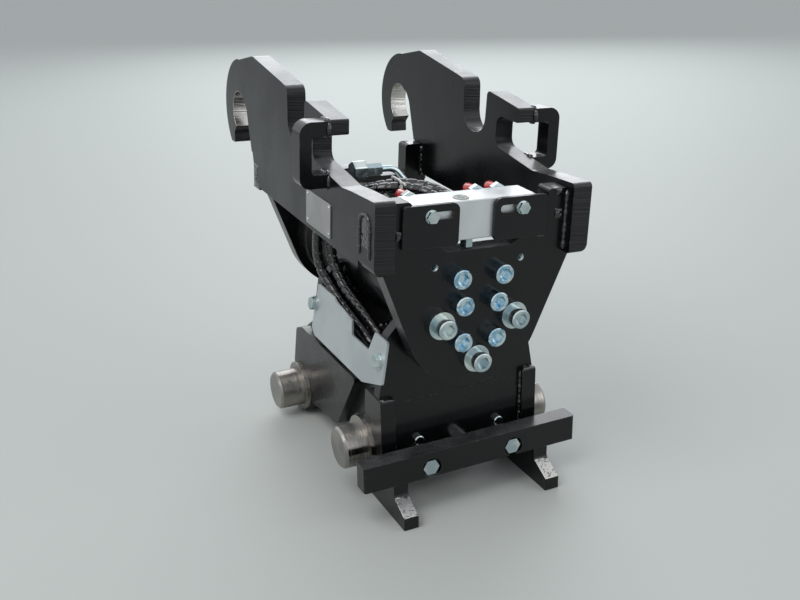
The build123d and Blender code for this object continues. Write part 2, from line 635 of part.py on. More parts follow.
def drain_fitting():
    """The hex fitting under the valve block."""
    body = extrude(RegularPolygon(DRAIN_R, 6, major_radius=False), -DRAIN_L)
    return Pos(VALVE_X - 5, FRONT_END_Y + DRAIN_R + 2, VALVE_BOTTOM) * body


SUPPLY_ROUTE = [
    (SUPPLY_X + 21, SUPPLY_Y, SUPPLY_H), (SUPPLY_X + 40, SUPPLY_Y, SUPPLY_H), (SUPPLY_X + 56, SUPPLY_Y - 8, SUPPLY_H - 20),
    (SUPPLY_X + 58, SUPPLY_Y - 50, VALVE_BOTTOM + 18), (SUPPLY_X + 40, FRONT_END_Y + VALVE_DEPTH + 30, VALVE_BOTTOM + 21),
    (SUPPLY_X + 40, FRONT_END_Y + VALVE_DEPTH, VALVE_BOTTOM + 21),
]


def supply_pipe():
    """The bent steel pipe from the valve block to the coupling for the machine's supply line."""
    pipe = tube_along(SUPPLY_ROUTE, SUPPLY_PIPE_D, "supply pipe")
    along = Pos(SUPPLY_X, SUPPLY_Y, SUPPLY_H) * Rot(0, 90, 0)
    nut = chamfer(extrude(RegularPolygon(SUPPLY_NUT_R, 6, major_radius=False), -SUPPLY_NUT_L).edges(), 1)
    body = extrude(RegularPolygon(SUPPLY_NUT_R - 4, 6, major_radius=False), 21)
    return together([along * (nut + body), pipe])


OUTER_HOSE_TOP = [
    (-20, 42, 130), (-20, 62, 130), (-30, 86, 136), (-50, 99, 139), (-74, 108, SUPPLY_H - HOSE_DIP + 21),
    (-94, 128, SUPPLY_H - HOSE_DIP + 14), (-HOSE_TOP_SIDE, 158, SUPPLY_H - HOSE_DIP), (-HOSE_TOP_SIDE - 1, 196, 99),
    (-HOSE_TOP_SIDE - 2, 228, 77),
]
OUTER_HOSE_LOW = [
    (-HOSE_SIDE, 251, 303), (-HOSE_SIDE, 257, 273), (-HOSE_SIDE + 2, 254, 250), (-HOSE_SIDE + 8, 243, 233),
    (-HOSE_SIDE + 13, 222, 216), (-HOSE_SIDE + 15, 193, 205), (-HOSE_SIDE + 17, 164, 196),
    (-HOSE_SIDE + 20, 136, 186), (-HOSE_SIDE + 24, 118, 172), (-HOSE_SIDE + 24, 118, DECK_TOP + 8),
]
INNER_HOSE_TOP = [
    (-4, 42, 130), (-4, 68, 130), (-14, 98, 136), (-38, 116, 139), (-64, 124, SUPPLY_H - HOSE_DIP + 20),
    (-80, 140, SUPPLY_H - HOSE_DIP + 13), (-HOSE_TOP_SIDE + 16, 166, SUPPLY_H - HOSE_DIP),
    (-HOSE_TOP_SIDE + 15, 196, 99), (-HOSE_TOP_SIDE + 14, 222, 77),
]
INNER_HOSE_LOW = [
    (-HOSE_SIDE + 16, 243, 303), (-HOSE_SIDE + 16, 248, 274), (-HOSE_SIDE + 18, 240, 250), (-HOSE_SIDE + 21, 222, 232),
    (-HOSE_SIDE + 24, 199, 220), (-HOSE_SIDE + 27, 172, 211), (-HOSE_SIDE + 30, 148, 200),
    (-HOSE_SIDE + 36, 129, 187), (-HOSE_SIDE + 40, 118, 174), (-HOSE_SIDE + 40, 118, DECK_TOP + 8),
]


def hose(top, low, name):
    """A hose from the valve block round the left side down to its port on the deck."""
    turn = radians(REST_TILT)
    raised = [(x * cos(turn) + h * sin(turn), y, AXIS_Z + h * cos(turn) - x * sin(turn)) for x, y, h in top]
    return tube_along(raised + low, HOSE_D, name)


def hose_ports():
    """The two port adapters on the deck, one under the lower end of each hose."""
    adapters = []
    for x, y, z in (OUTER_HOSE_LOW[-1], INNER_HOSE_LOW[-1]):
        body = Cylinder(HOSE_D / 2 + 1, z - DECK_TOP, align=(Align.CENTER, Align.CENTER, Align.MIN))
        adapters.append(Pos(x, y, DECK_TOP) * body)
    return together(adapters)


def tube_along(points, diameter, name):
    """A tube along straight runs joined by arcs as large as the runs allow."""
    knots = [Vector(*p) for p in points]
    radii = []
    for before, here, after in zip(knots, knots[1:], knots[2:]):
        run_in, run_out = here - before, after - here
        half_turn = radians(run_in.get_angle(run_out)) / 2
        radii.append(0.45 * min(run_in.length, run_out.length) / tan(half_turn))
    print(name, "radii", [round(r) for r in radii])
    path = FilletPolyline(*knots, radius=radii)
    section = Plane(path @ 0, z_dir=path % 0) * Circle(diameter / 2)
    part = sweep(section, path=path)
    print(name, "volume share", round(part.volume / (3.14159265 * diameter**2 / 4 * path.length), 4))
    return part


def together(pieces):
    """Separate pieces of one kind as one node."""
    return Compound([solid for piece in pieces for solid in piece.solids()])


def tilted(part):
    """A bracket piece, turned to the rest tilt and lifted to the axis."""
    return Pos(0, 0, AXIS_Z) * Rot(0, REST_TILT, 0) * part


def rating_plate():
    """The blank rating plate on the left hook plate."""
    x = -PLATE_GAP / 2 - PLATE_T
    outline = [
        (RATING_Y, RATING_H, 3), (RATING_Y, RATING_H + RATING_TALL, 3),
        (RATING_Y + RATING_W, RATING_H + RATING_TALL, 3), (RATING_Y + RATING_W, RATING_H, 3),
    ]
    return slab_x(outline, x - RATING_T, x)


def bracket_parts():
    """Every piece of the tilting bracket, drawn level about the axis."""
    parts = {
        "hook_plate_right": hook_plate(), "hook_plate_left": mirrored(hook_plate()),
        "wedge_loop_right": wedge_loop(), "wedge_loop_left": mirrored(wedge_loop()),
        "front_end_plate": front_end_plate(),
        "rear_end_plate": end_plate(REAR_END_Y, REAR_CUT_H, FRONT_CUT_HALF, REAR_TAB_H),
        "tilt_shaft": tilt_shaft(), "rear_hub": rear_hub(), "valve_block": valve_block(),
        "valve_bracket_right": valve_bracket(), "valve_bracket_left": across_valve(valve_bracket()),
        "valve_bolts": together([valve_bolt(), across_valve(valve_bolt())]),
        "drain_fitting": drain_fitting(), "rating_plate": rating_plate(), "supply_pipe": supply_pipe(),
        "port_caps": together([port_cap(VALVE_X + offset) for offset in PORT_CAP_PLACES]),
    }
    grip = END_T + SCREW_GRIP
    for number, (x, h) in enumerate(inner_screws() + top_screws(), 1):
        parts["front_screw_%d" % number] = screw(x, h, FRONT_END_Y, 1, grip)
    seat = FRONT_END_Y - COLLAR_T
    collars = []
    for number, (x, h) in enumerate(outer_screws(), 1):
        collar = bar_y(COLLAR_D / 2, seat, FRONT_END_Y, x, h)
        collars.append(collar - bar_y(SCREW_D / 2 + SCREW_PLAY, seat - 1, FRONT_END_Y + 1, x, h))
        parts["collar_screw_%d" % number] = screw(x, h, seat, 1, grip + COLLAR_T)
    parts["screw_collars"] = together(collars)
    rear = [screw(x, h, REAR_END_Y + END_T, -1, grip) for x, h in inner_screws() + outer_screws()]
    parts["rear_screws"] = together(rear)
    return parts


def base_parts():
    """Every piece of the lower coupler that stays still."""
    lift = Pos(0, 0, AXIS_Z)
    start = HOUSING_FRONT
    parts = {
        "actuator_housing": lift * tube_y(HOUSING_R, HOUSING_BORE_R, start, HOUSING_BACK),
        "bearing_front": lift * tube_y(HOUSING_BORE_R - RUNNING, SHAFT_R + RUNNING, start, start + BEARING_L),
        "bearing_rear": lift
        * tube_y(HOUSING_BORE_R - RUNNING, SHAFT_R + RUNNING, HOUSING_BACK - BEARING_L, HOUSING_BACK),
        "frame_plate_front": frame_plate(FRONT_FRAME_Y, FRONT_PLATE_TOP),
        "frame_plate_rear": frame_plate(REAR_FRAME_Y, DECK_TOP),
        "front_plate": front_plate(),
        "deck": block(
            -WEB_FACE_X + WEB_T, WEB_FACE_X - WEB_T, FRONT_FRAME_Y + FRAME_T, REAR_PIN_Y - 31, DECK_TOP - DECK_T, DECK_TOP
        ),
        "rear_cross_pin": rear_cross_pin(),
        "hose_ports": hose_ports(),
        "cover_sheet": cover_sheet(),
        "lock_barrel": lock_barrel(), "lock_gland": lock_gland(),
    }
    right_parts = {
        "frame_web": frame_web(), "rear_cheek": rear_cheek(), "front_block": front_block(),
        "front_pin": front_pin(),
    }
    for name, part in right_parts.items():
        parts[name + "_right"] = part
        parts[name + "_left"] = mirrored(part)
    front_collar = pin_collar(WEB_FACE_X + BLOCK_T, FRONT_PIN_Y, FRONT_PIN_Z)
    rear_collar = pin_collar(WEB_FACE_X + CHEEK_T, REAR_PIN_Y, REAR_PIN_Z)
    parts["front_pin_collars"] = together([front_collar, mirrored(front_collar)])
    parts["rear_pin_collars"] = together([rear_collar, mirrored(rear_collar)])
    screws = [cylinder_screw(-CYLINDER_SCREW_X), cylinder_screw(CYLINDER_SCREW_X)]
    parts["base_bolts"] = together([cover_bolt(y) for y in cover_bolt_places()] + screws)
    return parts


def lock_parts():
    """Every piece that slides with the locking beam."""
    return {
        "lock_beam": lock_beam(), "lock_rod": lock_rod(), "lock_wedge_right": lock_wedge(),
        "lock_wedge_left": mirrored(lock_wedge()), "guide_pin_left": guide_pin(-GUIDE_X),
        "guide_pin_right": guide_pin(GUIDE_X), "beam_bolts": together([beam_bolt(-GUIDE_X), beam_bolt(GUIDE_X)]),
    }


def sleeve_parts():
    """The helical piston sleeve between the shaft and the housing."""
    middle = (HOUSING_FRONT + HOUSING_BACK) / 2 + SLEEVE_LEAD * radians(REST_TILT)
    sleeve = tube_y(HOUSING_BORE_R - RUNNING, SHAFT_R + RUNNING, middle - SLEEVE_L / 2, middle + SLEEVE_L / 2)
    return {"piston_sleeve": Pos(0, 0, AXIS_Z) * sleeve}


def main():
    """Builds every node, moves the origin to the middle of the underside and writes the files."""
    os.makedirs("parts", exist_ok=True)
    nodes = {name: tilted(part) for name, part in bracket_parts().items()}
    nodes.update(base_parts())
    nodes.update(lock_parts())
    nodes.update(sleeve_parts())
    nodes["hose_outer"] = hose(OUTER_HOSE_TOP, OUTER_HOSE_LOW, "outer hose")
    nodes["hose_inner"] = hose(INNER_HOSE_TOP, INNER_HOSE_LOW, "inner hose")
    hull = together(nodes.values()).bounding_box()
    shift = Pos(-hull.center().X, -hull.center().Y, -hull.min.Z)
    print("tilt axis at", round(-hull.center().X, 3), round(-hull.center().Y, 3), AXIS_Z - hull.min.Z)
    for name, part in nodes.items():
        export_step(shift * part, "parts/%s.step" % name)
    print(len(nodes), "nodes, size", hull.size)


main()
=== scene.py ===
"""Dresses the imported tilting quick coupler: paint, bright steel, welds, wrapped hoses and small fittings."""

import json
import logging
import math
from collections.abc import Iterable, Sequence
from dataclasses import dataclass, field
from enum import Enum

import bmesh
import bpy
from mathutils import Matrix, Vector, noise

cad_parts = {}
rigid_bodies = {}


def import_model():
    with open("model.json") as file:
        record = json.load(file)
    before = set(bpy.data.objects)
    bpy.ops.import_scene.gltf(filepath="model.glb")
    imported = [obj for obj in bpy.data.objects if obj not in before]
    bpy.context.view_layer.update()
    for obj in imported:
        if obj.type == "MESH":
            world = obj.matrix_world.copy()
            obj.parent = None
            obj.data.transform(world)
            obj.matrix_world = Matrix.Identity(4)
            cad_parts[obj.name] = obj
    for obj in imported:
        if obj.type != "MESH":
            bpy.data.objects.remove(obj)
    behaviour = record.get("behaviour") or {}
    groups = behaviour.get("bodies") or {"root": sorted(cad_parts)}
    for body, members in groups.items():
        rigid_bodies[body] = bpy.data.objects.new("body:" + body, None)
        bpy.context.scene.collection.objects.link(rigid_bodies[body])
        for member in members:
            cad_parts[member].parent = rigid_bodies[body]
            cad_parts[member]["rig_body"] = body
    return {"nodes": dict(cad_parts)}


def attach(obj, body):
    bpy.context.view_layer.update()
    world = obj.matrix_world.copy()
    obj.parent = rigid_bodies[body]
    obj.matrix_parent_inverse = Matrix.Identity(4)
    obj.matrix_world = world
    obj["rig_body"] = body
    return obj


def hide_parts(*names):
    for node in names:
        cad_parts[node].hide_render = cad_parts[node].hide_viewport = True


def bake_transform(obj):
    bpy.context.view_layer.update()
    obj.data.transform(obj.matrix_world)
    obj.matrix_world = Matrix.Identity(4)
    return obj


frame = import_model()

LOG = logging.getLogger("tilting_coupler")

# The drawing's millimetres, with the tilt axis at X = 0 and the front end plate's face at Y = 0
MM = 0.001
AXIS_X, FACE_Y, AXIS_Z = -9.709, -253.55, 250.0
REST_TILT = math.radians(3.1)

Point = tuple[float, float, float]
Colour = tuple[float, float, float]


class Place(Enum):
    """Which drawing a piece is drawn in, as the matrix that takes it to the row frame."""

    BASE = Matrix.Diagonal((MM, MM, MM, 1.0)) @ Matrix.Translation((AXIS_X, FACE_Y, 0.0))
    BRACKET = (
        Matrix.Diagonal((MM, MM, MM, 1.0))
        @ Matrix.Translation((AXIS_X, FACE_Y, AXIS_Z))
        @ Matrix.Rotation(REST_TILT, 4, "Y")
    )


class Body(Enum):
    """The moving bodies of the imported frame."""

    BASE = "base"
    BRACKET = "bracket"
    LOCK = "lock"
    SLEEVE = "sleeve"


class Slot(Enum):
    """Names of the record's material slots; no piece here takes its finish from them."""

    PAINT = "black_paint"
    STEEL = "machined_steel"
    ZINC = "zinc_steel"
    ALUMINIUM = "aluminium"
    SHEET = "silver_sheet"
    RED = "red_plastic"
    HOSE = "hose_rubber"
    BRONZE = "bronze"


class Turning(Enum):
    """The axis that a turned piece was turned about."""

    ACROSS = "X"
    ALONG = "Y"
    NONE = "none"


class NodeBoard:
    """Adds and links the nodes of one node tree."""

    def __init__(self, tree: bpy.types.NodeTree) -> None:
        """Takes the tree and empties it."""
        self.tree = tree
        tree.nodes.clear()

    def add(self, kind: str, values: dict | None = None, **settings: object) -> bpy.types.Node:
        """Adds a shader node.

        Args:
            kind: The node's type without its prefix, such as TexNoise.
            values: Socket names or numbers, each with a value or a socket to link from.
            settings: Properties of the node itself.

        Returns:
            The new node.
        """
        node = self.tree.nodes.new(kind if kind.startswith("Node") else "ShaderNode" + kind)
        for name, value in settings.items():
            setattr(node, name, value)
        for socket, value in (values or {}).items():
            if isinstance(value, bpy.types.NodeSocket):
                self.tree.links.new(value, node.inputs[socket])
            else:
                node.inputs[socket].default_value = value
        return node

    def math(self, operation: str, *numbers: object) -> bpy.types.NodeSocket:
        """Adds a Math node on up to three numbers or sockets and returns its output."""
        return self.add("Math", dict(enumerate(numbers)), operation=operation).outputs[0]

    def reach(self, first: object, second: object) -> bpy.types.NodeSocket:
        """Adds the distance that two offsets at right angles make and returns it."""
        squares = [self.math("MULTIPLY", offset, offset) for offset in (first, second)]
        return self.math("SQRT", self.math("ADD", *squares))

    def mix(self, share: object, first: object, second: object) -> bpy.types.NodeSocket:
        """Mixes two colours by share, each a colour of four numbers or a socket, and returns the colour."""
        node = self.add("Mix", data_type="RGBA")
        for number, value in ((0, share), (6, first), (7, second)):
            if isinstance(value, bpy.types.NodeSocket):
                self.tree.links.new(value, node.inputs[number])
            else:
                node.inputs[number].default_value = value
        return node.outputs[2]

    def between(self, value: object, low: float, high: float, to_low: float, to_high: float) -> bpy.types.NodeSocket:
        """Maps value from one range to another with a soft start and end, and returns the result."""
        settings = {0: value, 1: low, 2: high, 3: to_low, 4: to_high}
        return self.add("MapRange", settings, interpolation_type="SMOOTHSTEP").outputs[0]


def new_group(name: str, inputs: dict[str, tuple[str, object]], outputs: Iterable[str]) -> bpy.types.NodeTree:
    """Makes an empty shader group with its sockets.

    Args:
        name: The group's name.
        inputs: Socket names, each with its socket type and its default.
        outputs: Names of the number sockets that the group puts out.

    Returns:
        The group's tree.
    """
    tree = bpy.data.node_groups.new(name, "ShaderNodeTree")
    for socket, (kind, default) in inputs.items():
        made = tree.interface.new_socket(name=socket, in_out="INPUT", socket_type="NodeSocket" + kind)
        if default is not None:
            made.default_value = default
    for socket in outputs:
        tree.interface.new_socket(name=socket, in_out="OUTPUT", socket_type="NodeSocketFloat")
    return tree


@dataclass
class Effects:
    """Node groups for effects that more than one finish uses."""

    dust_and_sheen: bpy.types.NodeTree = field(init=False)
    grain: bpy.types.NodeTree = field(init=False)
    wear_and_glint: bpy.types.NodeTree = field(init=False)
    lathe: bpy.types.NodeTree = field(init=False)

    def __post_init__(self) -> None:
        """Builds every group."""
        self.dust_and_sheen = self.build_dust_and_sheen()
        self.grain = self.build_grain()
        self.wear_and_glint = self.build_wear_and_glint()
        self.lathe = self.build_lathe()

    @staticmethod
    def build_dust_and_sheen() -> bpy.types.NodeTree:
        """Fine dust on faces that look up, which also paints the pale sheen that these tops catch from the light."""
        tree = new_group("settled_dust_and_sheen", {"Vector": ("Vector", None), "Amount": ("Float", 0.3)}, ["Mask"])
        board = NodeBoard(tree)
        given = board.add("NodeGroupInput").outputs
        normal = board.add("SeparateXYZ", {0: board.add("NewGeometry").outputs["Normal"]}).outputs[2]
        # Faces that look up take the pale grey: settled dust, and a painted sheen of light on the tops
        facing = board.between(normal, 0.55, 0.98, 0.0, 1.0)
        coarse = board.add("TexNoise", {"Vector": given["Vector"], "Scale": 22.0, "Detail": 5.0}).outputs[0]
        fine = board.add("TexNoise", {"Vector": given["Vector"], "Scale": 260.0, "Detail": 3.0}).outputs[0]
        patches = board.between(board.math("MULTIPLY_ADD", fine, 0.35, coarse), 0.45, 0.95, 0.25, 1.0)
        mask = board.math("MULTIPLY", board.math("MULTIPLY", facing, patches), given["Amount"])
        board.add("NodeGroupOutput", {0: mask})
        return tree

    @staticmethod
    def build_grain() -> bpy.types.NodeTree:
        """Orange peel and slow blotches of a sprayed or plated surface."""
        tree = new_group("skin_grain", {"Vector": ("Vector", None), "Scale": ("Float", 600.0)}, ["Height", "Blotch"])
        board = NodeBoard(tree)
        given = board.add("NodeGroupInput").outputs
        peel = board.add("TexNoise", {"Vector": given["Vector"], "Scale": given["Scale"], "Detail": 2.0}).outputs[0]
        slow = board.add("TexNoise", {"Vector": given["Vector"], "Scale": 14.0, "Detail": 4.0}).outputs[0]
        board.add("NodeGroupOutput", {0: peel, 1: slow})
        return tree

    @staticmethod
    def build_wear_and_glint() -> bpy.types.NodeTree:
        """Thin lighter places along edges, from a rounded and a flat normal: worn paint, and a painted highlight where
        the edges catch light.
        """
        sockets = {"Vector": ("Vector", None), "Rounded": ("Vector", None), "Amount": ("Float", 0.5)}
        tree = new_group("rubbed_and_glinting_edges", sockets, ["Mask"])
        board = NodeBoard(tree)
        given = board.add("NodeGroupInput").outputs
        flat = board.add("NewGeometry").outputs["True Normal"]
        along = board.add("VectorMath", {0: given["Rounded"], 1: flat}, operation="DOT_PRODUCT").outputs["Value"]
        # Edges take the lighter grey: worn paint and a painted highlight of edges catching light
        edge = board.between(along, 0.99, 0.86, 0.0, 1.0)
        broken = board.add("TexNoise", {"Vector": given["Vector"], "Scale": 120.0, "Detail": 6.0}).outputs[0]
        spots = board.between(broken, 0.5, 0.72, 0.0, 1.0)
        mask = board.math("MULTIPLY", board.math("MULTIPLY", edge, spots), given["Amount"])
        board.add("NodeGroupOutput", {0: mask})
        return tree

    @staticmethod
    def build_lathe() -> bpy.types.NodeTree:
        """Fine turning lines, which run round a shaft and in rings on its ends."""
        tree = new_group("turning_lines", {"Along": ("Float", 0.0), "Radius": ("Float", 0.0)}, ["Height"])
        board = NodeBoard(tree)
        given = board.add("NodeGroupInput").outputs
        travel = board.math("ADD", given["Along"], given["Radius"])
        step = board.math("MULTIPLY", travel, 2600.0)
        lines = board.add("TexNoise", {"W": step, "Scale": 1.0, "Detail": 3.0}, noise_dimensions="1D").outputs[0]
        bands = board.add("TexNoise", {"W": step, "Scale": 0.12, "Detail": 2.0}, noise_dimensions="1D").outputs[0]
        board.add("NodeGroupOutput", {0: board.math("MULTIPLY_ADD", bands, 0.6, lines)})
        return tree


def in_place(board: NodeBoard, place: Place) -> bpy.types.NodeSocket:
    """Object coordinates taken back to the drawing, in millimetres.

    Args:
        board: The material's nodes.
        place: The drawing that the piece was made in.

    Returns:
        The coordinates.
    """
    back = place.value.inverted()
    here = board.add("TexCoord").outputs["Object"]
    rows = {}
    for number in range(3):
        turned = board.add("VectorMath", {0: here, 1: tuple(back[number][:3])}, operation="DOT_PRODUCT")
        rows[number] = board.math("ADD", turned.outputs["Value"], back[number][3])
    return board.add("CombineXYZ", rows).outputs[0]


@dataclass(frozen=True)
class Finish:
    """What every finish has: a name, a colour and a roughness range."""

    name: str
    colour: Colour
    smooth: float = 0.3
    rough: float = 0.45

    def start(self) -> tuple[bpy.types.Material, NodeBoard, bpy.types.Node, bpy.types.NodeSocket]:
        """Starts the material.

        Returns:
            The material, its board, its Principled node and Object coordinates.
        """
        material = bpy.data.materials.new(self.name)
        material.use_nodes = True
        board = NodeBoard(material.node_tree)
        shader = board.add("BsdfPrincipled", {"Base Color": (*self.colour, 1.0), "Roughness": self.rough})
        board.add("OutputMaterial", {0: shader.outputs[0]})
        here = board.add("TexCoord").outputs["Object"]
        return material, board, shader, here


@dataclass(frozen=True)
class PaintFinish(Finish):
    """Glossy black paint with orange peel, dust with a painted sheen on top, and worn edges with a painted highlight.
    """

    dust_and_sheen: float = 0.3
    wear_and_glint: float = 0.6
    round_edge: float = 0.0012
    gloss: float = 0.28
    coat: float = 0.16
    cut_marks: bool = False
    bores: tuple[Point, ...] = ()
    bare_nose: bool = False

    def make(self, effects: Effects) -> bpy.types.Material:
        """Makes the paint, with bare metal where the finish asks for it."""
        material, board, shader, here = self.start()
        rounded = board.add("Bevel", {"Radius": self.round_edge}, samples=4).outputs[0]
        grain = board.add("Group", {"Vector": here, "Scale": 520.0}, node_tree=effects.grain).outputs
        colour = self.painted(board, here, rounded, grain["Blotch"], effects)
        roughness = board.between(grain["Blotch"], 0.3, 0.7, self.smooth, self.rough)
        height = board.math("MULTIPLY", grain["Height"], 0.12)
        if self.cut_marks:
            height = board.math("ADD", height, self.drag_lines(board))
        bare = self.bare_mask(board)
        if bare is not None:
            scratch = board.add("TexNoise", {"Vector": here, "Scale": 700.0, "Detail": 3.0}).outputs[0]
            metal = board.mix(scratch, (0.40, 0.385, 0.36, 1.0), (0.70, 0.68, 0.65, 1.0))
            colour = board.mix(bare, colour, metal)
            roughness = board.math("SUBTRACT", roughness, board.math("MULTIPLY", bare, 0.06))
            board.tree.links.new(bare, shader.inputs["Metallic"])
        board.tree.links.new(colour, shader.inputs["Base Color"])
        board.tree.links.new(roughness, shader.inputs["Roughness"])
        bump = board.add("Bump", {"Strength": 0.5, "Distance": 0.0006, "Height": height, "Normal": rounded})
        board.tree.links.new(bump.outputs[0], shader.inputs["Normal"])
        shader.inputs["Specular IOR Level"].default_value = self.gloss
        shader.inputs["Coat Weight"].default_value = self.coat
        shader.inputs["Coat Roughness"].default_value = 0.1
        return material

    def painted(
        self, board: NodeBoard, here: bpy.types.NodeSocket, rounded: bpy.types.NodeSocket,
        blotch: bpy.types.NodeSocket, effects: Effects,
    ) -> bpy.types.NodeSocket:
        """Colours the paint with its blotches, its dust with a painted sheen on top, and its worn edges with a painted
        highlight.

        Args:
            board: The material's nodes.
            here: Object coordinates.
            rounded: The normal with rounded edges.
            blotch: Slow blotches.
            effects: The shared groups.

        Returns:
            The colour.
        """
        shade = board.mix(blotch, (*self.colour, 1.0), (*[c * 1.6 for c in self.colour], 1.0))
        # Paler grey on faces that look up: settled dust and a painted sheen of light
        dust_and_sheen = board.add("Group", {"Vector": here, "Amount": self.dust_and_sheen}, node_tree=effects.dust_and_sheen)
        dust_and_sheen_colour = board.mix(dust_and_sheen.outputs["Mask"], shade, (0.34, 0.35, 0.35, 1.0))
        # Lighter grey along the edges: worn paint and a painted highlight
        worn_and_glint_inputs = {"Vector": here, "Rounded": rounded, "Amount": self.wear_and_glint}
        wear_and_glint = board.add("Group", worn_and_glint_inputs, node_tree=effects.wear_and_glint)
        return board.mix(wear_and_glint.outputs["Mask"], dust_and_sheen_colour, (0.26, 0.26, 0.27, 1.0))

    def bare_mask(self, board: NodeBoard) -> bpy.types.NodeSocket | None:
        """Where the paint is off: machined bores, or the wedge's nose.

        Args:
            board: The material's nodes.

        Returns:
            A mask, or None where all of it is painted.
        """
        if self.bores:
            split = board.add("SeparateXYZ", {0: in_place(board, Place.BRACKET)}).outputs
            mask = None
            for y, h, radius in self.bores:
                gaps = board.math("SUBTRACT", split[1], y), board.math("SUBTRACT", split[2], h)
                off = board.math("ABSOLUTE", board.math("SUBTRACT", board.reach(*gaps), radius))
                bore = board.between(off, 0.3, 0.8, 1.0, 0.0)
                mask = bore if mask is None else board.math("MAXIMUM", mask, bore)
            return mask
        if self.bare_nose:
            drawn = in_place(board, Place.BASE)
            split = board.add("SeparateXYZ", {0: drawn}).outputs
            ragged = board.add("TexNoise", {"Vector": drawn, "Scale": 0.09, "Detail": 4.0}).outputs[0]
            edge = board.math("MULTIPLY_ADD", ragged, 26.0, split[1])
            front = board.between(edge, 14.0, 18.0, 1.0, 0.0)
            smear = board.add("TexNoise", {"Vector": drawn, "Scale": 0.3, "Detail": 5.0}).outputs[0]
            left = board.between(smear, 0.36, 0.46, 0.15, 1.0)
            normal = board.add("SeparateXYZ", {0: board.add("NewGeometry").outputs["Normal"]}).outputs[2]
            top = board.between(normal, 0.5, 0.8, 0.0, 1.0)
            return board.math("MULTIPLY", board.math("MULTIPLY", front, top), left)
        return None

    @staticmethod
    def drag_lines(board: NodeBoard) -> bpy.types.NodeSocket:
        """Ripples that a flame cut leaves across the plate's front edge.

        Args:
            board: The material's nodes.

        Returns:
            The height of the ripples.
        """
        drawn = board.add("SeparateXYZ", {0: in_place(board, Place.BRACKET)}).outputs
        bent = board.math("MULTIPLY_ADD", drawn[0], 0.08, drawn[2])
        lines = board.add("TexNoise", {"W": bent, "Scale": 0.55, "Detail": 3.0}, noise_dimensions="1D").outputs[0]
        facing = board.add("SeparateXYZ", {0: board.add("NewGeometry").outputs["Normal"]}).outputs[1]
        front = board.between(facing, -0.95, -0.7, 1.0, 0.0)
        return board.math("MULTIPLY", board.math("MULTIPLY", lines, front), 3.4)


@dataclass(frozen=True)
class MetalFinish(Finish):
    """Bare or plated metal, turned or plain."""

    tint: Colour = (0.7, 0.7, 0.7)
    turning: Turning = Turning.NONE
    centre: tuple[float, float] = (0.0, 0.0)
    lines: float = 0.35
    brushed: Point = (1.0, 1.0, 1.0)
    metallic: float = 1.0
    patches: float = 14.0

    def make(self, effects: Effects) -> bpy.types.Material:
        """Makes the metal with its blotches and its turning or brushing lines."""
        material, board, shader, here = self.start()
        rounded = board.add("Bevel", {"Radius": 0.0005}, samples=4).outputs[0]
        grain = board.add("Group", {"Vector": here, "Scale": 900.0}, node_tree=effects.grain).outputs
        roughness = board.between(grain["Blotch"], 0.3, 0.7, self.smooth, self.rough)
        patches = board.add("TexNoise", {"Vector": here, "Scale": self.patches, "Detail": 2.0}).outputs[0]
        shade = board.mix(board.between(patches, 0.36, 0.64, 0.0, 1.0), (*self.colour, 1.0), (*self.tint, 1.0))
        if self.turning is Turning.NONE:
            stretched = board.add("Mapping", {"Vector": here, "Scale": self.brushed})
            height = board.add("TexNoise", {"Vector": stretched.outputs[0], "Scale": 60.0, "Detail": 4.0}).outputs[0]
        else:
            height = self.turned(board, here, effects)
        board.tree.links.new(shade, shader.inputs["Base Color"])
        board.tree.links.new(roughness, shader.inputs["Roughness"])
        bump = board.add("Bump", {"Strength": self.lines, "Distance": 0.0003, "Height": height, "Normal": rounded})
        board.tree.links.new(bump.outputs[0], shader.inputs["Normal"])
        shader.inputs["Metallic"].default_value = self.metallic
        return material

    def turned(self, board: NodeBoard, here: bpy.types.NodeSocket, effects: Effects) -> bpy.types.NodeSocket:
        """Turning lines about the piece's own axis.

        Args:
            board: The material's nodes.
            here: Object coordinates.
            effects: The shared groups.

        Returns:
            The height of the lines.
        """
        split = board.add("SeparateXYZ", {0: here}).outputs
        along, first = (split[0], split[1]) if self.turning is Turning.ACROSS else (split[1], split[0])
        gaps = board.math("SUBTRACT", first, self.centre[0]), board.math("SUBTRACT", split[2], self.centre[1])
        values = {"Along": along, "Radius": board.reach(*gaps)}
        return board.add("Group", values, node_tree=effects.lathe).outputs["Height"]


@dataclass(frozen=True)
class PlasticFinish(Finish):
    """Moulded plastic or rubber with a fine skin."""

    coat: float = 0.0
    grain_scale: float = 800.0

    def make(self, effects: Effects) -> bpy.types.Material:
        """Makes the plastic with its blotches and its grain."""
        material, board, shader, here = self.start()
        grain = board.add("Group", {"Vector": here, "Scale": self.grain_scale}, node_tree=effects.grain)
        shade = board.mix(grain.outputs["Blotch"], (*[c * 0.85 for c in self.colour], 1.0), (*self.colour, 1.0))
        board.tree.links.new(shade, shader.inputs["Base Color"])
        roughness = board.between(grain.outputs["Blotch"], 0.3, 0.7, self.smooth, self.rough)
        board.tree.links.new(roughness, shader.inputs["Roughness"])
        bump = board.add("Bump", {"Strength": 0.3, "Distance": 0.0003, "Height": grain.outputs["Height"]})
        board.tree.links.new(bump.outputs[0], shader.inputs["Normal"])
        shader.inputs["Coat Weight"].default_value = self.coat
        return material


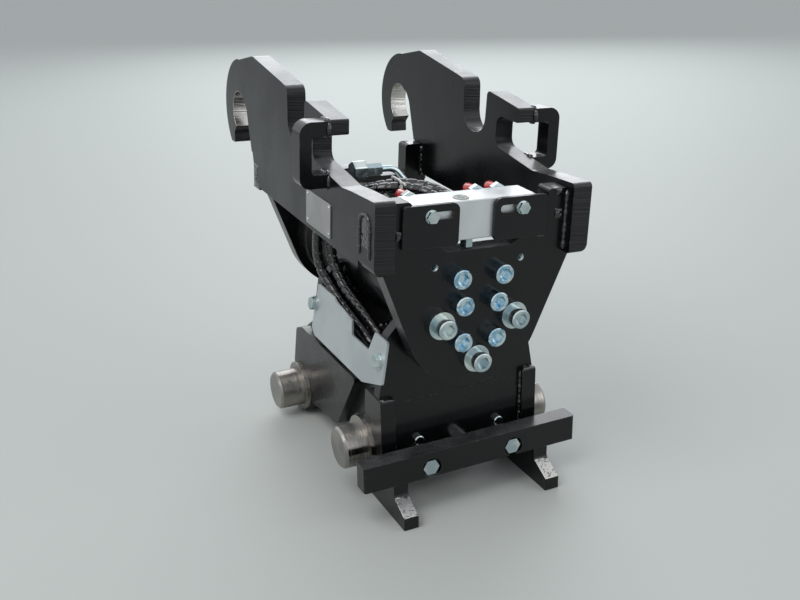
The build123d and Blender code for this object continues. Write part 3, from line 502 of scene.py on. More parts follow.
class Coat(Enum):
    """Every finish on the coupler."""

    PAINT = PaintFinish("black_paint", (0.0026, 0.0028, 0.0033), 0.2, 0.34, dust_and_sheen=0.2)
    PLATE = PaintFinish(
        "black_paint_flame_cut", (0.0026, 0.0028, 0.0033), 0.22, 0.36, dust_and_sheen=0.42, cut_marks=True,
        bores=((231.5, 199.0, 28.0), (468.5, 169.0, 28.0)),
    )
    WELD = PaintFinish(
        "painted_weld", (0.002, 0.002, 0.0024), 0.06, 0.14, dust_and_sheen=0.03, wear_and_glint=0.05, round_edge=0.0003, gloss=0.6,
        coat=0.6,
    )
    WEDGE = PaintFinish("worn_wedge", (0.0026, 0.0028, 0.0033), 0.25, 0.4, dust_and_sheen=0.12, bare_nose=True)
    FRONT_PIN = MetalFinish(
        "front_pin_steel", (0.26, 0.245, 0.225), 0.16, 0.26, tint=(0.38, 0.36, 0.33), turning=Turning.ACROSS,
        centre=((91.3 + FACE_Y) * MM, 66.8 * MM), lines=0.6,
    )
    REAR_PIN = MetalFinish(
        "rear_pin_steel", (0.25, 0.235, 0.215), 0.2, 0.3, tint=(0.35, 0.33, 0.30), turning=Turning.ACROSS,
        centre=((337.0 + FACE_Y) * MM, 38.3 * MM), lines=0.6,
    )
    ROD = MetalFinish(
        "chromed_rod", (0.62, 0.62, 0.62), 0.08, 0.16, tint=(0.72, 0.72, 0.73), turning=Turning.ALONG,
        centre=(AXIS_X * MM, 66.0 * MM), lines=0.1,
    )
    SHAFT = MetalFinish(
        "turned_shaft", (0.26, 0.255, 0.24), 0.25, 0.4, tint=(0.38, 0.37, 0.35), turning=Turning.ALONG,
        centre=(AXIS_X * MM, AXIS_Z * MM),
    )
    ZINC = MetalFinish(
        "bright_zinc", (0.40, 0.49, 0.52), 0.12, 0.26, tint=(0.62, 0.68, 0.66), lines=0.12, patches=46.0
    )
    BLUE_ZINC = MetalFinish(
        "blue_zinc", (0.24, 0.42, 0.55), 0.1, 0.2, tint=(0.60, 0.70, 0.73), lines=0.12, patches=110.0
    )
    BLOCK = MetalFinish(
        "milled_aluminium", (0.62, 0.64, 0.66), 0.3, 0.42, tint=(0.69, 0.71, 0.72), lines=0.2,
        brushed=(1.0, 30.0, 30.0), metallic=0.75,
    )
    SHEET = MetalFinish(
        "silver_sheet", (0.44, 0.48, 0.50), 0.34, 0.46, tint=(0.52, 0.56, 0.57), lines=0.15,
        brushed=(30.0, 1.0, 30.0), metallic=0.55,
    )
    LABEL = MetalFinish(
        "blank_rating_plate", (0.36, 0.36, 0.36), 0.32, 0.44, tint=(0.46, 0.46, 0.45), lines=0.15,
        brushed=(30.0, 1.0, 30.0), metallic=0.8,
    )
    BRONZE = MetalFinish(
        "turned_bronze", (0.50, 0.33, 0.16), 0.28, 0.42, tint=(0.60, 0.42, 0.21), turning=Turning.ALONG,
        centre=(AXIS_X * MM, AXIS_Z * MM),
    )
    RED = PlasticFinish("red_cap_plastic", (0.62, 0.02, 0.015), 0.22, 0.35, coat=0.3)
    WRAP = PlasticFinish("spiral_wrap", (0.004, 0.004, 0.0045), 0.12, 0.24, coat=0.5)
    TIE = PlasticFinish("cable_tie", (0.62, 0.63, 0.60), 0.3, 0.42)


class Rack:
    """Makes each finish once and hands it out."""

    def __init__(self) -> None:
        """Builds the shared effects."""
        self.effects = Effects()
        self.made: dict[Coat, bpy.types.Material] = {}

    def take(self, coat: Coat) -> bpy.types.Material:
        """Returns the finish's material, which is made when it is first asked for."""
        if coat not in self.made:
            self.made[coat] = coat.value.make(self.effects)
        return self.made[coat]

    def dress(self, coat: Coat, *nodes: str) -> None:
        """Puts a finish on CAD nodes."""
        for name in nodes:
            node = frame["nodes"][name]
            if not node.material_slots:
                node.data.materials.append(None)
            for place in node.material_slots:
                place.material = self.take(coat)
            LOG.info("%s wears %s", name, coat.value.name)


def finish_piece(
    name: str, shape: bmesh.types.BMesh, place: Place, body: Body, material: bpy.types.Material,
    sharp: float = 40.0,
) -> bpy.types.Object:
    """Turns a shape drawn in millimetres into a piece that rides on a body.

    Args:
        name: The piece's name.
        shape: The shape, which is freed.
        place: The drawing that it was made in.
        body: The body that carries it.
        material: Its finish.
        sharp: Edges over this angle, in degrees, stay sharp.

    Returns:
        The piece.
    """
    bmesh.ops.remove_doubles(shape, verts=shape.verts, dist=0.001)
    bmesh.ops.recalc_face_normals(shape, faces=shape.faces)
    shape.transform(place.value)
    mesh = bpy.data.meshes.new(name)
    shape.to_mesh(mesh)
    shape.free()
    mesh.shade_smooth()
    mesh.set_sharp_from_angle(angle=math.radians(sharp))
    mesh.materials.append(material)
    piece = bpy.data.objects.new(name, mesh)
    bpy.context.scene.collection.objects.link(piece)
    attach(piece, body.value)
    LOG.info("%s has %d faces", name, len(mesh.polygons))
    return piece


def stations(points: Sequence[Vector], step: float) -> list[Vector]:
    """Points at even steps along a broken line.

    Args:
        points: The line's corners.
        step: The longest step.

    Returns:
        The points, from end to end.
    """
    lengths = [(b - a).length for a, b in zip(points, points[1:])]
    total = sum(lengths)
    count = max(2, math.ceil(total / step))
    found, index, passed = [], 0, 0.0
    for number in range(count + 1):
        wanted = total * number / count
        while index < len(lengths) - 1 and passed + lengths[index] < wanted:
            passed += lengths[index]
            index += 1
        share = (wanted - passed) / lengths[index] if lengths[index] else 0.0
        found.append(points[index].lerp(points[index + 1], min(1.0, share)))
    return found


def sweep(
    shape: bmesh.types.BMesh, line: Sequence[Vector], radius: float, sides: int, profile=lambda travel, turn: 1.0
) -> None:
    """Sweeps a ring along a line, with a radius that may change along and round it.

    Args:
        shape: The mesh that takes the tube.
        line: Even points along the tube's middle.
        radius: The tube's plain radius.
        sides: Corners of the ring.
        profile: Gives the share of the radius at a distance along and an angle round.
    """
    heading = (line[1] - line[0]).normalized()
    turn = heading.to_track_quat("Z", "Y").to_matrix().to_4x4()
    frames = []
    for number, here in enumerate(line):
        ahead = (line[min(number + 1, len(line) - 1)] - line[max(number - 1, 0)]).normalized()
        turn = heading.rotation_difference(ahead).to_matrix().to_4x4() @ turn
        heading = ahead
        frames.append(Matrix.Translation(here) @ turn)
    ring = bmesh.ops.create_circle(shape, cap_ends=True, radius=radius, segments=sides, matrix=frames[0])["verts"]
    start_face = ring[0].link_faces[0]
    edges = list(start_face.edges)
    rings = [list(ring)]
    for before, after in zip(frames, frames[1:]):
        made = bmesh.ops.extrude_edge_only(shape, edges=edges)["geom"]
        verts = [g for g in made if isinstance(g, bmesh.types.BMVert)]
        chosen = set(verts)
        edges = [
            g for g in made if isinstance(g, bmesh.types.BMEdge) and g.verts[0] in chosen and g.verts[1] in chosen
        ]
        bmesh.ops.transform(shape, matrix=after @ before.inverted(), verts=verts)
        rings.append(verts)
    bmesh.ops.contextual_create(shape, geom=edges)
    travel = 0.0
    for number, (place, verts) in enumerate(zip(frames, rings)):
        if number:
            travel += (line[number] - line[number - 1]).length
        back = place.inverted()
        for vert in verts:
            local = back @ vert.co
            local *= profile(travel, math.atan2(local.y, local.x))
            vert.co = place @ local


def arc(centre: Point, radius: float, low: float, high: float, axis: str = "Y", count: int = 40) -> list[Vector]:
    """Points on an arc across an axis, with angles in degrees from +X, or from +Y for the X axis."""
    points = []
    for number in range(count + 1):
        angle = math.radians(low + (high - low) * number / count)
        reach, rise = radius * math.cos(angle), radius * math.sin(angle)
        offset = (reach, 0.0, rise) if axis == "Y" else (0.0, reach, rise)
        points.append(Vector(centre) + Vector(offset))
    return points


@dataclass
class Welder:
    """Lays rippled weld beads along joints."""

    rack: Rack
    ripple: float = 2.2
    sides: int = 9

    def bead(self, shape: bmesh.types.BMesh, line: Sequence[Vector], radius: float) -> None:
        """Lays one bead.

        Args:
            shape: The mesh that takes the bead.
            line: The joint's corners.
            radius: Half the bead's width.
        """
        points = stations(line, 0.75)
        length = sum((b - a).length for a, b in zip(points, points[1:]))

        def profile(travel: float, turn: float) -> float:
            """Overlapping scales with rounded ends."""
            wave = (travel / self.ripple + 0.25 * math.cos(turn)) % 1.0
            ends = min(1.0, math.sqrt(max(0.02, min(travel, length - travel)) / radius))
            drift = 1.0 + 0.13 * math.sin(travel * 0.31) + 0.08 * math.sin(travel * 0.83 + 1.0)
            return ends * drift * (0.84 + 0.16 * math.sqrt(wave))

        sweep(shape, points, radius, self.sides, profile)

    @staticmethod
    def pool(shape: bmesh.types.BMesh, centre: Point, facing: Point, wide: float, tall: float, rise: float) -> None:
        """Lays a lumpy pool of weld metal on a face.

        Args:
            shape: The mesh that takes the pool.
            centre: The middle of its foot.
            facing: The way the face looks.
            wide: Its width, across the run of the weld.
            tall: Its height, along the run.
            rise: How far it stands up.
        """
        turn = Vector(facing).to_track_quat("Z", "Y").to_matrix().to_4x4()
        place = Matrix.Translation(centre) @ turn
        cells = [max(6, round(size / 1.1)) for size in (wide, tall)]
        spread = place @ Matrix.Diagonal((wide, tall, 1.0, 1.0))
        made = bmesh.ops.create_grid(shape, x_segments=cells[0], y_segments=cells[1], size=0.5, matrix=spread)
        verts = made["verts"]
        chosen = set(verts)
        rim = [e for v in verts for e in v.link_edges if e.is_boundary and e.other_vert(v) in chosen]
        skirt = bmesh.ops.extrude_edge_only(shape, edges=list(dict.fromkeys(rim)))["geom"]
        low = [g for g in skirt if isinstance(g, bmesh.types.BMVert)]
        back = spread.inverted()
        for vert in verts:
            local = back @ vert.co
            edge = 1.0 - min(1.0, (abs(2 * local.x) ** 4 + abs(2 * local.y) ** 4) ** 0.5)
            lumps = noise.noise(vert.co * 0.28) + 0.5 * noise.noise(vert.co * 0.7)
            height = rise * edge**0.4 * (0.75 + 0.45 * lumps)
            vert.co += turn.to_3x3() @ Vector((0.0, 0.0, height))
        bmesh.ops.translate(shape, verts=low, vec=turn.to_3x3() @ Vector((0.0, 0.0, -0.8)))
        closing = [e for v in low for e in v.link_edges if e.is_boundary]
        bmesh.ops.contextual_create(shape, geom=list(dict.fromkeys(closing)))

    def lay(
        self, name: str, lines: Iterable[tuple[Sequence[Point], float]], place: Place, body: Body,
        pools: Iterable[tuple[Point, Point, float, float, float]] = (),
    ) -> None:
        """Lays several beads and pools as one piece.

        Args:
            name: The piece's name.
            lines: Joints, each with its corners and the bead's radius.
            place: The drawing.
            body: The body that the welds are on.
            pools: Pools, each with its centre, facing, width, height and rise.
        """
        shape = bmesh.new()
        for line, radius in lines:
            self.bead(shape, [Vector(p) for p in line], radius)
        for pool in pools:
            self.pool(shape, *pool)
        finish_piece(name, shape, place, body, self.rack.take(Coat.WELD), 60.0)


def both_sides(lines: Iterable[tuple[Sequence[Point], float]]) -> list[tuple[list[Point], float]]:
    """The same joints on the right and on the left."""
    found = []
    for line, radius in lines:
        for side in (1, -1):
            found.append(([(side * x, y, z) for x, y, z in line], radius))
    return found


@dataclass
class Bracket:
    """The tilting bracket: hook plates, end plates, loops, screws and valve block."""

    rack: Rack
    welder: Welder
    plate_in: float = 115.0
    plate_out: float = 140.0
    rail_low: float = 71.0
    front_top: float = 150.0
    rear_top: float = 122.0
    rear_y: float = 385.0
    end_t: float = 25.0
    loop_y: float = 119.0
    loop_t: float = 25.0
    tenon_h: float = 36.0
    valve_x: float = -8.0
    valve_back: float = 42.0
    cap_places: tuple[float, ...] = (-64.0, 25.0, 54.0)
    cap_h: float = 141.0

    def dress(self) -> None:
        """Gives the CAD nodes of the bracket their finishes."""
        take = self.rack.dress
        take(Coat.PLATE, "hook_plate_right", "hook_plate_left")
        take(Coat.PAINT, "wedge_loop_right", "wedge_loop_left", "front_end_plate", "rear_end_plate")
        take(Coat.PAINT, "valve_bracket_right", "valve_bracket_left")
        take(Coat.SHAFT, "tilt_shaft", "rear_hub")
        take(Coat.BLUE_ZINC, *[f"front_screw_{number}" for number in range(1, 7)])
        take(Coat.ZINC, *[f"collar_screw_{number}" for number in range(1, 4)], "screw_collars")
        take(Coat.ZINC, "rear_screws", "valve_bolts", "drain_fitting", "supply_pipe")
        take(Coat.BLOCK, "valve_block")
        take(Coat.LABEL, "rating_plate")

    def weld(self) -> None:
        """Lays the bracket's welds."""
        x_in, x_out, low = self.plate_in, self.plate_out, self.rail_low
        front, rear = self.end_t, self.rear_y + self.end_t
        joints = [
            ([(x_in, 0, low + 2), (x_in, 0, self.front_top - 3)], 4.0),
            ([(x_in, front, low + 2), (x_in, front, self.front_top - 3)], 4.0),
            ([(x_in, self.rear_y, low + 2), (x_in, self.rear_y, self.rear_top - 3)], 4.0),
            ([(x_in, rear, low + 2), (x_in, rear, self.rear_top - 3)], 4.0),
            ([(x_in + 1, 1, low), (x_in + 8, 1, low)], 3.0),
        ]
        lumps = [
            ((105.0, -0.2, 119.0), (0, -1, 0), 11.0, 13.0, 3.2), ((83.0, -0.2, 97.0), (0, -1, 0), 9.0, 10.0, 2.6),
            ((104.0, -0.2, 145.0), (0, -1, 0), 10.0, 9.0, 2.4), ((-104.0, -0.2, 112.0), (0, -1, 0), 9.0, 12.0, 2.6),
        ]
        self.welder.lay("end_plate_welds", both_sides(joints), Place.BRACKET, Body.BRACKET, lumps)
        rims, fills = [], []
        for side in (1, -1):
            high = self.front_top - 14
            middle = (side * (x_out - 0.9), front / 2, high - self.tenon_h / 2 - 3)
            fills.append((middle, (side, 0, 0), front + 3, self.tenon_h + 10, 1.4))
            rims.append((self.tenon_rim(side * x_out, -1.5, front + 1.5, high - self.tenon_h - 12, high + 2), 2.3))
            high = self.rear_top - 14
            middle = (side * (x_out - 1.9), self.rear_y + 10, high - self.tenon_h / 2)
            fills.append((middle, (side, 0, 0), front - 4, self.tenon_h - 2, 3.0))
        self.welder.lay("tenon_welds", rims, Place.BRACKET, Body.BRACKET, fills)
        arms = []
        for arm_low, arm_high in ((141.0, 157.5), (202.5, 220.0)):
            for y in (self.loop_y, self.loop_y + self.loop_t):
                arms.append(([(x_out, y, arm_low + 1), (x_out, y, arm_high - 1)], 3.2))
            for h in (arm_low, arm_high):
                arms.append(([(x_out, self.loop_y + 1, h), (x_out, self.loop_y + self.loop_t - 1, h)], 3.2))
        self.welder.lay("loop_welds", both_sides(arms), Place.BRACKET, Body.BRACKET)

    @staticmethod
    def tenon_rim(x: float, y_low: float, y_high: float, low: float, high: float) -> list[Point]:
        """The line of the bead round a tenon: straight sides, open below and round above."""
        radius = (y_high - y_low) / 2
        crown = arc((x, (y_low + y_high) / 2, high - radius), radius, 0, 180, "X")
        return [(x, y_high, low), *[tuple(point) for point in crown], (x, y_low, low)]

    def rivet(self) -> None:
        """Puts four rivets on the blank rating plate."""
        shape = bmesh.new()
        for y in (116.0, 186.0):
            for h in (85.0, 118.0):
                seat = Matrix.Translation((-self.plate_out - 1.4, y, h)) @ Matrix.Diagonal((0.5, 1, 1, 1))
                bmesh.ops.create_uvsphere(shape, u_segments=16, v_segments=10, radius=2.4, matrix=seat)
        finish_piece(
            "rating_plate_rivets", shape, Place.BRACKET, Body.BRACKET, self.rack.take(Coat.ZINC)
        )

    def cap_ports(self) -> None:
        """Builds the hex adapters and their red caps behind the valve block."""
        hexes, caps = bmesh.new(), bmesh.new()
        for offset in self.cap_places:
            here = Matrix.Translation((self.valve_x + offset, self.valve_back, self.cap_h))
            turned = here @ Matrix.Rotation(math.radians(-90), 4, "X")
            self.turn(hexes, turned, [(0, 8.8), (0.8, 9.6), (7.2, 9.6), (8, 8.8)], 6)
            self.turn(hexes, turned, [(7.5, 5.8), (9.5, 5.8)], 20)
            profile = [(8.4, 6.6), (9.0, 7.5), (11.0, 7.5), (11.5, 6.9), (24.0, 6.6), (25.6, 5.6), (26, 4.0)]
            self.turn(caps, turned, profile, 28)
        made = finish_piece(
            "port_hexes", hexes, Place.BRACKET, Body.BRACKET, self.rack.take(Coat.ZINC), 25.0
        )
        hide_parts("port_caps")
        made = finish_piece("red_caps", caps, Place.BRACKET, Body.BRACKET, self.rack.take(Coat.RED))
        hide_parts("port_caps")

    @staticmethod
    def turn(shape: bmesh.types.BMesh, place: Matrix, profile: Sequence[tuple[float, float]], sides: int) -> None:
        """Turns a profile about a piece's own axis.

        Args:
            shape: The mesh that takes the turned piece.
            place: Where its foot is, with the axis along Z.
            profile: Heights and radii from the foot up.
            sides: Corners of the ring.
        """
        foot, radius = profile[0]
        start = place @ Matrix.Translation((0, 0, foot))
        ring = bmesh.ops.create_circle(shape, cap_ends=True, radius=radius, segments=sides, matrix=start)["verts"]
        edges = list(ring[0].link_faces[0].edges)
        last_foot, last_radius = foot, radius
        for height, wide in profile[1:]:
            made = bmesh.ops.extrude_edge_only(shape, edges=edges)["geom"]
            verts = [g for g in made if isinstance(g, bmesh.types.BMVert)]
            chosen = set(verts)
            edges = [
                g for g in made if isinstance(g, bmesh.types.BMEdge) and g.verts[0] in chosen and g.verts[1] in chosen
            ]
            grow = wide / last_radius
            step = Matrix.Translation((0, 0, height)) @ Matrix.Diagonal((grow, grow, 1, 1))
            step = step @ Matrix.Translation((0, 0, -last_foot))
            bmesh.ops.transform(shape, matrix=place @ step @ place.inverted(), verts=verts)
            last_foot, last_radius = height, wide
        bmesh.ops.contextual_create(shape, geom=edges)

    def plug_top(self) -> None:
        """Puts a socket plug over the recess on top of the valve block."""
        shape = bmesh.new()
        here = Matrix.Translation((self.valve_x - 13, 13.0, 145.8))
        self.turn(shape, here, [(0, 9.6), (0.9, 9.6), (1.3, 9.2), (1.3, 7.2), (0.5, 6.8), (0.5, 4.6)], 36)
        finish_piece("valve_plug", shape, Place.BRACKET, Body.BRACKET, self.rack.take(Coat.SHAFT), 25.0)
        socket = bmesh.new()
        self.turn(socket, here, [(0.3, 4.4), (1.2, 4.4), (1.2, 3.6), (0.4, 3.2)], 6)
        finish_piece("valve_plug_socket", socket, Place.BRACKET, Body.BRACKET, self.rack.take(Coat.ZINC), 25.0)

    def thread_holes(self) -> None:
        """Cuts bright threads in the two small holes beside the upper screws."""
        shape = bmesh.new()
        for side in (1, -1):
            here = Matrix.Translation((side * 57.0, 0.0, 69.5)) @ Matrix.Rotation(math.radians(90), 4, "X")
            profile = [(-14.0, 3.4)]
            for turn in range(10):
                profile += [(-13.9 + 1.35 * turn, 3.5), (-13.3 + 1.35 * turn, 4.05)]
            self.turn(shape, here, [*profile, (-0.3, 4.1), (-0.3, 4.24), (-14.6, 4.24)], 24)
        finish_piece("hole_threads", shape, Place.BRACKET, Body.BRACKET, self.rack.take(Coat.ZINC), 25.0)

    def build(self) -> None:
        """Dresses the bracket and adds its small pieces."""
        self.dress()
        self.weld()
        self.rivet()
        self.cap_ports()
        self.plug_top()
        self.thread_holes()


@dataclass
class LowerCoupler:
    """The fixed lower coupler: frame plates, webs, cheeks, pins, cover and actuator housing."""

    rack: Rack
    welder: Welder
    web_out: float = 90.0
    block_out: float = 110.0
    deck_top: float = 146.0
    housing_r: float = 62.0
    frames: tuple[float, float] = (45.0, 257.0)
    frame_t: float = 16.0

    def dress(self) -> None:
        """Gives the CAD nodes of the lower coupler their finishes."""
        take = self.rack.dress
        take(Coat.PAINT, "actuator_housing", "frame_plate_front", "frame_plate_rear", "front_plate", "deck")
        take(Coat.PAINT, "lock_barrel", "lock_gland", "frame_web_right", "frame_web_left")
        take(Coat.PAINT, "rear_cheek_right", "rear_cheek_left", "front_block_right", "front_block_left")
        take(Coat.REAR_PIN, "rear_cross_pin", "rear_pin_collars")
        take(Coat.FRONT_PIN, "front_pin_right", "front_pin_left", "front_pin_collars")
        take(Coat.ZINC, "base_bolts", "hose_ports")
        take(Coat.SHEET, "cover_sheet")
        take(Coat.BRONZE, "bearing_front", "bearing_rear")

    def weld(self) -> None:
        """Lays the lower coupler's welds."""
        web, top = self.web_out, self.deck_top
        front, back = self.frames[0], self.frames[0] + self.frame_t
        across = {y: 104 for y in (self.frames[1], self.frames[1] + self.frame_t)} | {back: 88}
        joints = [
            ([(web + 0.5, front - 1, top - 2), (web + 0.5, front - 0.6, 44)], 3.2),
            ([(web + 1, 132, 137.6), (web + 1, 316, 137.6)], 3.2),
        ]
        pools = [((side * (web + 9.5), 48.0, top - 0.2), (0, 0, 1), 18.0, 20.0, 3.6) for side in (1, -1)]
        self.welder.lay("block_welds", both_sides(joints), Place.BASE, Body.BASE, pools)
        seams = []
        for y in (*self.frames, *[f + self.frame_t for f in self.frames]):
            seams.append(([tuple(p) for p in arc((0, y, AXIS_Z), self.housing_r, 184, 356)], 3.6))
        seams += [([(-half, y, top), (half, y, top)], 3.6) for y, half in across.items()]
        self.welder.lay("frame_welds", seams, Place.BASE, Body.BASE)

    def build(self) -> None:
        """Dresses the lower coupler and welds it."""
        self.dress()
        self.weld()


@dataclass
class LockSet:
    """The locking beam with its wedges, rod and guide pins."""

    rack: Rack
    welder: Welder
    wedge_in: float = 90.6
    wedge_w: float = 19.2
    beam_y: float = 3.2
    beam_t: float = 24.0
    beam_low: float = 48.0

    def dress(self) -> None:
        """Gives the CAD nodes of the lock their finishes."""
        self.rack.dress(Coat.PAINT, "lock_beam")
        self.rack.dress(Coat.WEDGE, "lock_wedge_right", "lock_wedge_left")
        self.rack.dress(Coat.ROD, "lock_rod", "guide_pin_left", "guide_pin_right")
        self.rack.dress(Coat.ZINC, "beam_bolts")
        self.rack.dress(Coat.SHAFT, "piston_sleeve")

    def weld(self) -> None:
        """Lays the welds between the beam and the wedges' risers."""
        low, inner, outer = self.beam_low, self.wedge_in, self.wedge_in + self.wedge_w
        back = self.beam_y + self.beam_t - 2
        joints = [
            ([(inner, self.beam_y + 4, low), (inner, back, low)], 2.6),
            ([(outer, self.beam_y + 4, low), (outer, back, low)], 2.6),
            ([(inner + 1, back, low), (outer - 1, back, low)], 2.6),
        ]
        self.welder.lay("wedge_welds", both_sides(joints), Place.BASE, Body.LOCK)

    def build(self) -> None:
        """Dresses the lock and welds it."""
        self.dress()
        self.weld()


@dataclass(frozen=True)
class HoseRoute:
    """One hose: its points on the bracket and on the lower coupler, from the block down to the deck."""

    name: str
    node: str
    upper: tuple[Point, ...]
    lower: tuple[Point, ...]

    def points(self) -> list[Vector]:
        """The route's points in the row frame, in metres."""
        upper = [Place.BRACKET.value @ Vector(p) for p in self.upper]
        return upper + [Place.BASE.value @ Vector(p) for p in self.lower]


OUTER = HoseRoute(
    "wrapped_hose_outer",
    "hose_outer",
    (
        (-20, 42, 130), (-20, 62, 130), (-30, 86, 136), (-50, 99, 139), (-74, 108, 138), (-94, 128, 131),
        (-102, 158, 117), (-103, 196, 99), (-104, 228, 77),
    ),
    (
        (-100, 251, 303), (-100, 257, 273), (-98, 254, 250), (-92, 243, 233), (-87, 222, 216),
        (-85, 193, 205), (-83, 164, 196), (-80, 136, 186), (-76, 118, 172), (-76, 118, 154),
    ),
)
INNER = HoseRoute(
    "wrapped_hose_inner",
    "hose_inner",
    (
        (-4, 42, 130), (-4, 68, 130), (-14, 98, 136), (-38, 116, 139), (-64, 124, 137), (-80, 140, 130),
        (-86, 166, 117), (-87, 196, 99), (-88, 222, 77),
    ),
    (
        (-84, 243, 303), (-84, 248, 274), (-82, 240, 250), (-79, 222, 232), (-76, 199, 220),
        (-73, 172, 211), (-70, 148, 200), (-64, 129, 187), (-60, 118, 174), (-60, 118, 154),
    ),
)


@dataclass
class HoseSet:
    """The two hoses with their spiral wrap, crimped ends and cable tie."""

    rack: Rack
    diameter: float = 0.013
    core: float = 0.0059
    wrap: float = 0.0070
    pitch: float = 0.0132
    band: float = 0.86
    sides: int = 24
    crimp: float = 0.024
    bend_low: float = 0.185
    bend_high: float = 0.335

    def centreline(self, route: HoseRoute) -> list[Vector]:
        """Reads the middle of a hose from a smooth spline on the route's points.

        Args:
            route: The hose.

        Returns:
            Points along the spline, in metres.
        """
        curve = bpy.data.curves.new(route.name + "_line", "CURVE")
        curve.dimensions = "3D"
        spline = curve.splines.new("NURBS")
        points = route.points()
        spline.points.add(len(points) - 1)
        for knot, point in zip(spline.points, points):
            knot.co = (*point, 1.0)
        spline.order_u = 3
        spline.use_endpoint_u = True
        spline.resolution_u = 16
        holder = bpy.data.objects.new(curve.name, curve)
        bpy.context.scene.collection.objects.link(holder)
        line = bpy.data.meshes.new_from_object(holder)
        found = [v.co.copy() for v in line.vertices]
        bpy.data.objects.remove(holder)
        bpy.data.curves.remove(curve)
        bpy.data.meshes.remove(line)
        return found

    def wrapped(self, travel: float, turn: float, length: float) -> float:
        """The wrap's height over the hose, as a share of the full radius."""
        core = self.core / self.wrap
        if travel < self.crimp or travel > length - self.crimp:
            return core
        phase = (travel / self.pitch + turn / math.tau) % 1.0
        rise = min(phase, self.band - phase) / 0.08
        return core + (1.0 - core) * max(0.0, min(1.0, rise))

    def build_hose(self, route: HoseRoute) -> None:
        """Builds one wrapped hose with crimped ends.

        Args:
            route: The hose.
        """
        line = stations(self.centreline(route), 0.001)
        length = sum((b - a).length for a, b in zip(line, line[1:]))
        shape = bmesh.new()
        sweep(shape, line, self.wrap, self.sides, lambda travel, turn: self.wrapped(travel, turn, length))
        shape.transform(Place.BASE.value.inverted())
        hose = finish_piece(
            route.name, shape, Place.BASE, Body.BASE, self.rack.take(Coat.WRAP), 50.0
        )
        hose.parent = None
        del hose["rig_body"]
        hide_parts(route.node)
        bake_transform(hose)
        ends = [self.crimped(route, line, True), self.crimped(route, line, False)]
        LOG.info("%s is %.3f m long", route.name, length)

    def crimped(self, route: HoseRoute, line: Sequence[Vector], first: bool) -> bpy.types.Object:
        """Builds the crimped sleeve and swivel nut on one end of a hose.

        Args:
            route: The hose.
            line: Its middle.
            first: True for the end on the valve block.

        Returns:
            The fitting.
        """
        start, ahead = (line[0], line[4]) if first else (line[-1], line[-5])
        place = Place.BRACKET if first else Place.BASE
        here = Matrix.Translation(start) @ (ahead - start).to_track_quat("Z", "Y").to_matrix().to_4x4()
        local = place.value.inverted() @ here @ Matrix.Diagonal((MM, MM, MM, 1.0))
        shape = bmesh.new()
        Bracket.turn(shape, local, [(0.2, 7.6), (0.8, 8.2), (8.2, 8.2), (8.8, 7.6)], 6)
        sleeve = [(8.6, 5.9), (10.2, 5.9), (10.8, 6.6), (13.4, 6.6), (13.8, 6.2), (14.4, 6.2), (14.8, 6.6)]
        sleeve += [(17.6, 6.6), (18.0, 6.2), (18.6, 6.2), (19.0, 6.6), (22.6, 6.6), (23.2, 6.0)]
        Bracket.turn(shape, local, sleeve, 24)
        side = "top" if first else "deck"
        body = Body.BRACKET if first else Body.BASE
        return finish_piece(
            f"{route.name}_{side}_fitting", shape, place, body, self.rack.take(Coat.ZINC), 25.0
        )

    def tie(self) -> None:
        """Builds the pale cable tie round both hoses, with its tail."""
        shape = bmesh.new()
        loop = [
            (-58, 92, 139), (-57, 94, 146.5), (-56, 104, 147.5), (-55, 116, 147), (-54, 127, 146), (-53.5, 128.5, 138),
            (-54, 126, 130.5), (-55, 112, 130), (-57, 97, 131), (-58, 92, 139),
        ]
        tail = [(-57, 93, 146), (-62, 78, 150), (-70, 58, 154)]
        for line, radius in ((loop, 1.6), (tail, 1.5)):
            sweep(shape, stations([Vector(p) for p in line], 1.0), radius, 8)
        finish_piece("cable_tie", shape, Place.BRACKET, Body.BRACKET, self.rack.take(Coat.TIE), 50.0)

    def build(self) -> None:
        """Builds both hoses and the tie."""
        for route in (OUTER, INNER):
            self.build_hose(route)
        self.tie()


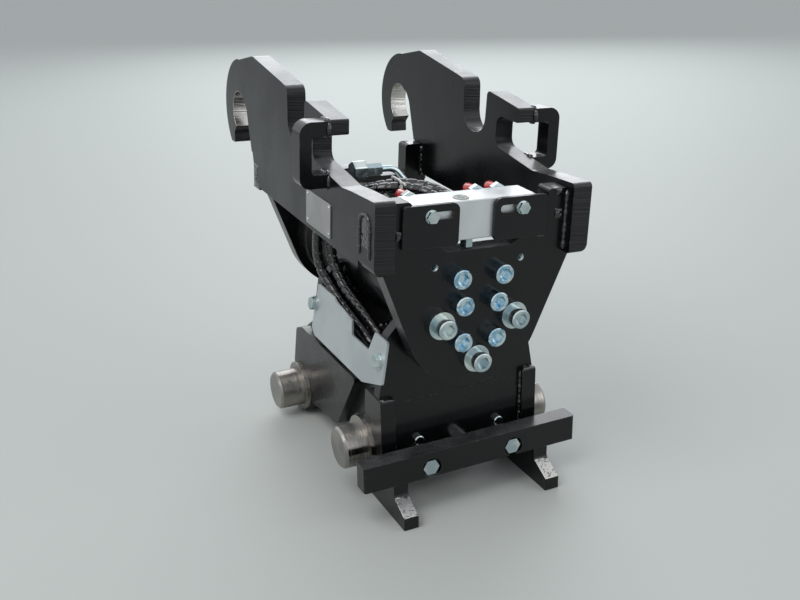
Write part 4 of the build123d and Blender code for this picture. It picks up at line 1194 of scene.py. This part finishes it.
@dataclass
class Studio:
    """Camera, floor and light."""

    eye: Point = (-581.14, -1274.61, 743.16)
    right: Point = (0.90362, -0.42785, -0.02044)
    up: Point = (0.17643, 0.32829, 0.92795)
    ahead: Point = (0.39031, 0.84212, -0.37214)
    focal_px: float = 1069.58
    sensor: float = 36.0
    floor_colour: Colour = (0.50, 0.53, 0.51)

    def camera(self) -> None:
        """Sets the camera where the photograph was taken from."""
        data = bpy.data.cameras.new("camera")
        data.sensor_width = self.sensor
        data.lens = self.focal_px * self.sensor / 800.0
        data.clip_start, data.clip_end = 0.05, 100.0
        camera = bpy.data.objects.new("camera", data)
        rows = zip(self.right, self.up, [-c for c in self.ahead])
        turn = Matrix([list(row) for row in rows]).to_4x4()
        camera.matrix_world = Matrix.Translation([c * MM for c in self.eye]) @ turn
        bpy.context.scene.collection.objects.link(camera)
        bpy.context.scene.camera = camera

    def floor(self) -> None:
        """Lays a plain pale floor."""
        shape = bmesh.new()
        bmesh.ops.create_grid(shape, x_segments=1, y_segments=1, size=30.0)
        mesh = bpy.data.meshes.new("floor")
        shape.to_mesh(mesh)
        shape.free()
        floor = bpy.data.objects.new("floor", mesh)
        material = bpy.data.materials.new("pale_floor")
        material.use_nodes = True
        shader = material.node_tree.nodes["Principled BSDF"]
        shader.inputs["Base Color"].default_value = (*self.floor_colour, 1.0)
        shader.inputs["Roughness"].default_value = 0.6
        mesh.materials.append(material)
        bpy.context.scene.collection.objects.link(floor)

    def world(self) -> None:
        """Makes an even pale surrounding."""
        world = bpy.data.worlds.new("studio")
        bpy.context.scene.world = world
        world.use_nodes = True
        board = NodeBoard(world.node_tree)
        rays = board.add("LightPath").outputs
        seen = board.math("MAXIMUM", rays["Is Camera Ray"], rays["Is Glossy Ray"])
        strength = board.math("MULTIPLY_ADD", seen, 0.45, 0.55)
        background = board.add("Background", {"Color": (0.93, 0.96, 1.0, 1.0), "Strength": strength})
        board.add("OutputWorld", {0: background.outputs[0]})

    @staticmethod
    def lamp(name: str, place: Point, size: float, power: float, colour: Colour) -> None:
        """Hangs a soft lamp that looks at the coupler.

        Args:
            name: The lamp's name.
            place: Where it hangs, in metres.
            size: Its side.
            power: Its power in watts.
            colour: Its colour.
        """
        data = bpy.data.lights.new(name, "AREA")
        data.shape, data.size, data.energy, data.color = "SQUARE", size, power, colour
        lamp = bpy.data.objects.new(name, data)
        look = Vector((0, 0, 0.2)) - Vector(place)
        lamp.matrix_world = Matrix.Translation(place) @ look.to_track_quat("-Z", "Y").to_matrix().to_4x4()
        bpy.context.scene.collection.objects.link(lamp)

    def build(self) -> None:
        """Sets up the studio."""
        self.camera()
        self.floor()
        self.world()
        self.lamp("key", (-1.6, -0.6, 2.6), 1.8, 34.0, (1.0, 0.99, 0.97))
        self.lamp("rim", (1.4, 2.6, 1.7), 2.4, 40.0, (0.95, 0.98, 1.0))
        self.lamp("fill", (1.8, -2.0, 1.6), 1.6, 10.0, (1.0, 1.0, 1.0))
        bpy.context.scene.view_settings.view_transform = "Standard"


def main() -> None:
    """Builds every sub-assembly in order."""
    logging.basicConfig(level=logging.INFO, format="%(message)s")
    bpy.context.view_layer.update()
    Studio().build()
    rack = Rack()
    welder = Welder(rack)
    HoseSet(rack).build()
    for part in (Bracket(rack, welder), LowerCoupler(rack, welder), LockSet(rack, welder)):
        part.build()
        LOG.info("%s is done", type(part).__name__)
    bpy.context.view_layer.update()


if __name__ == "__main__":
    main()
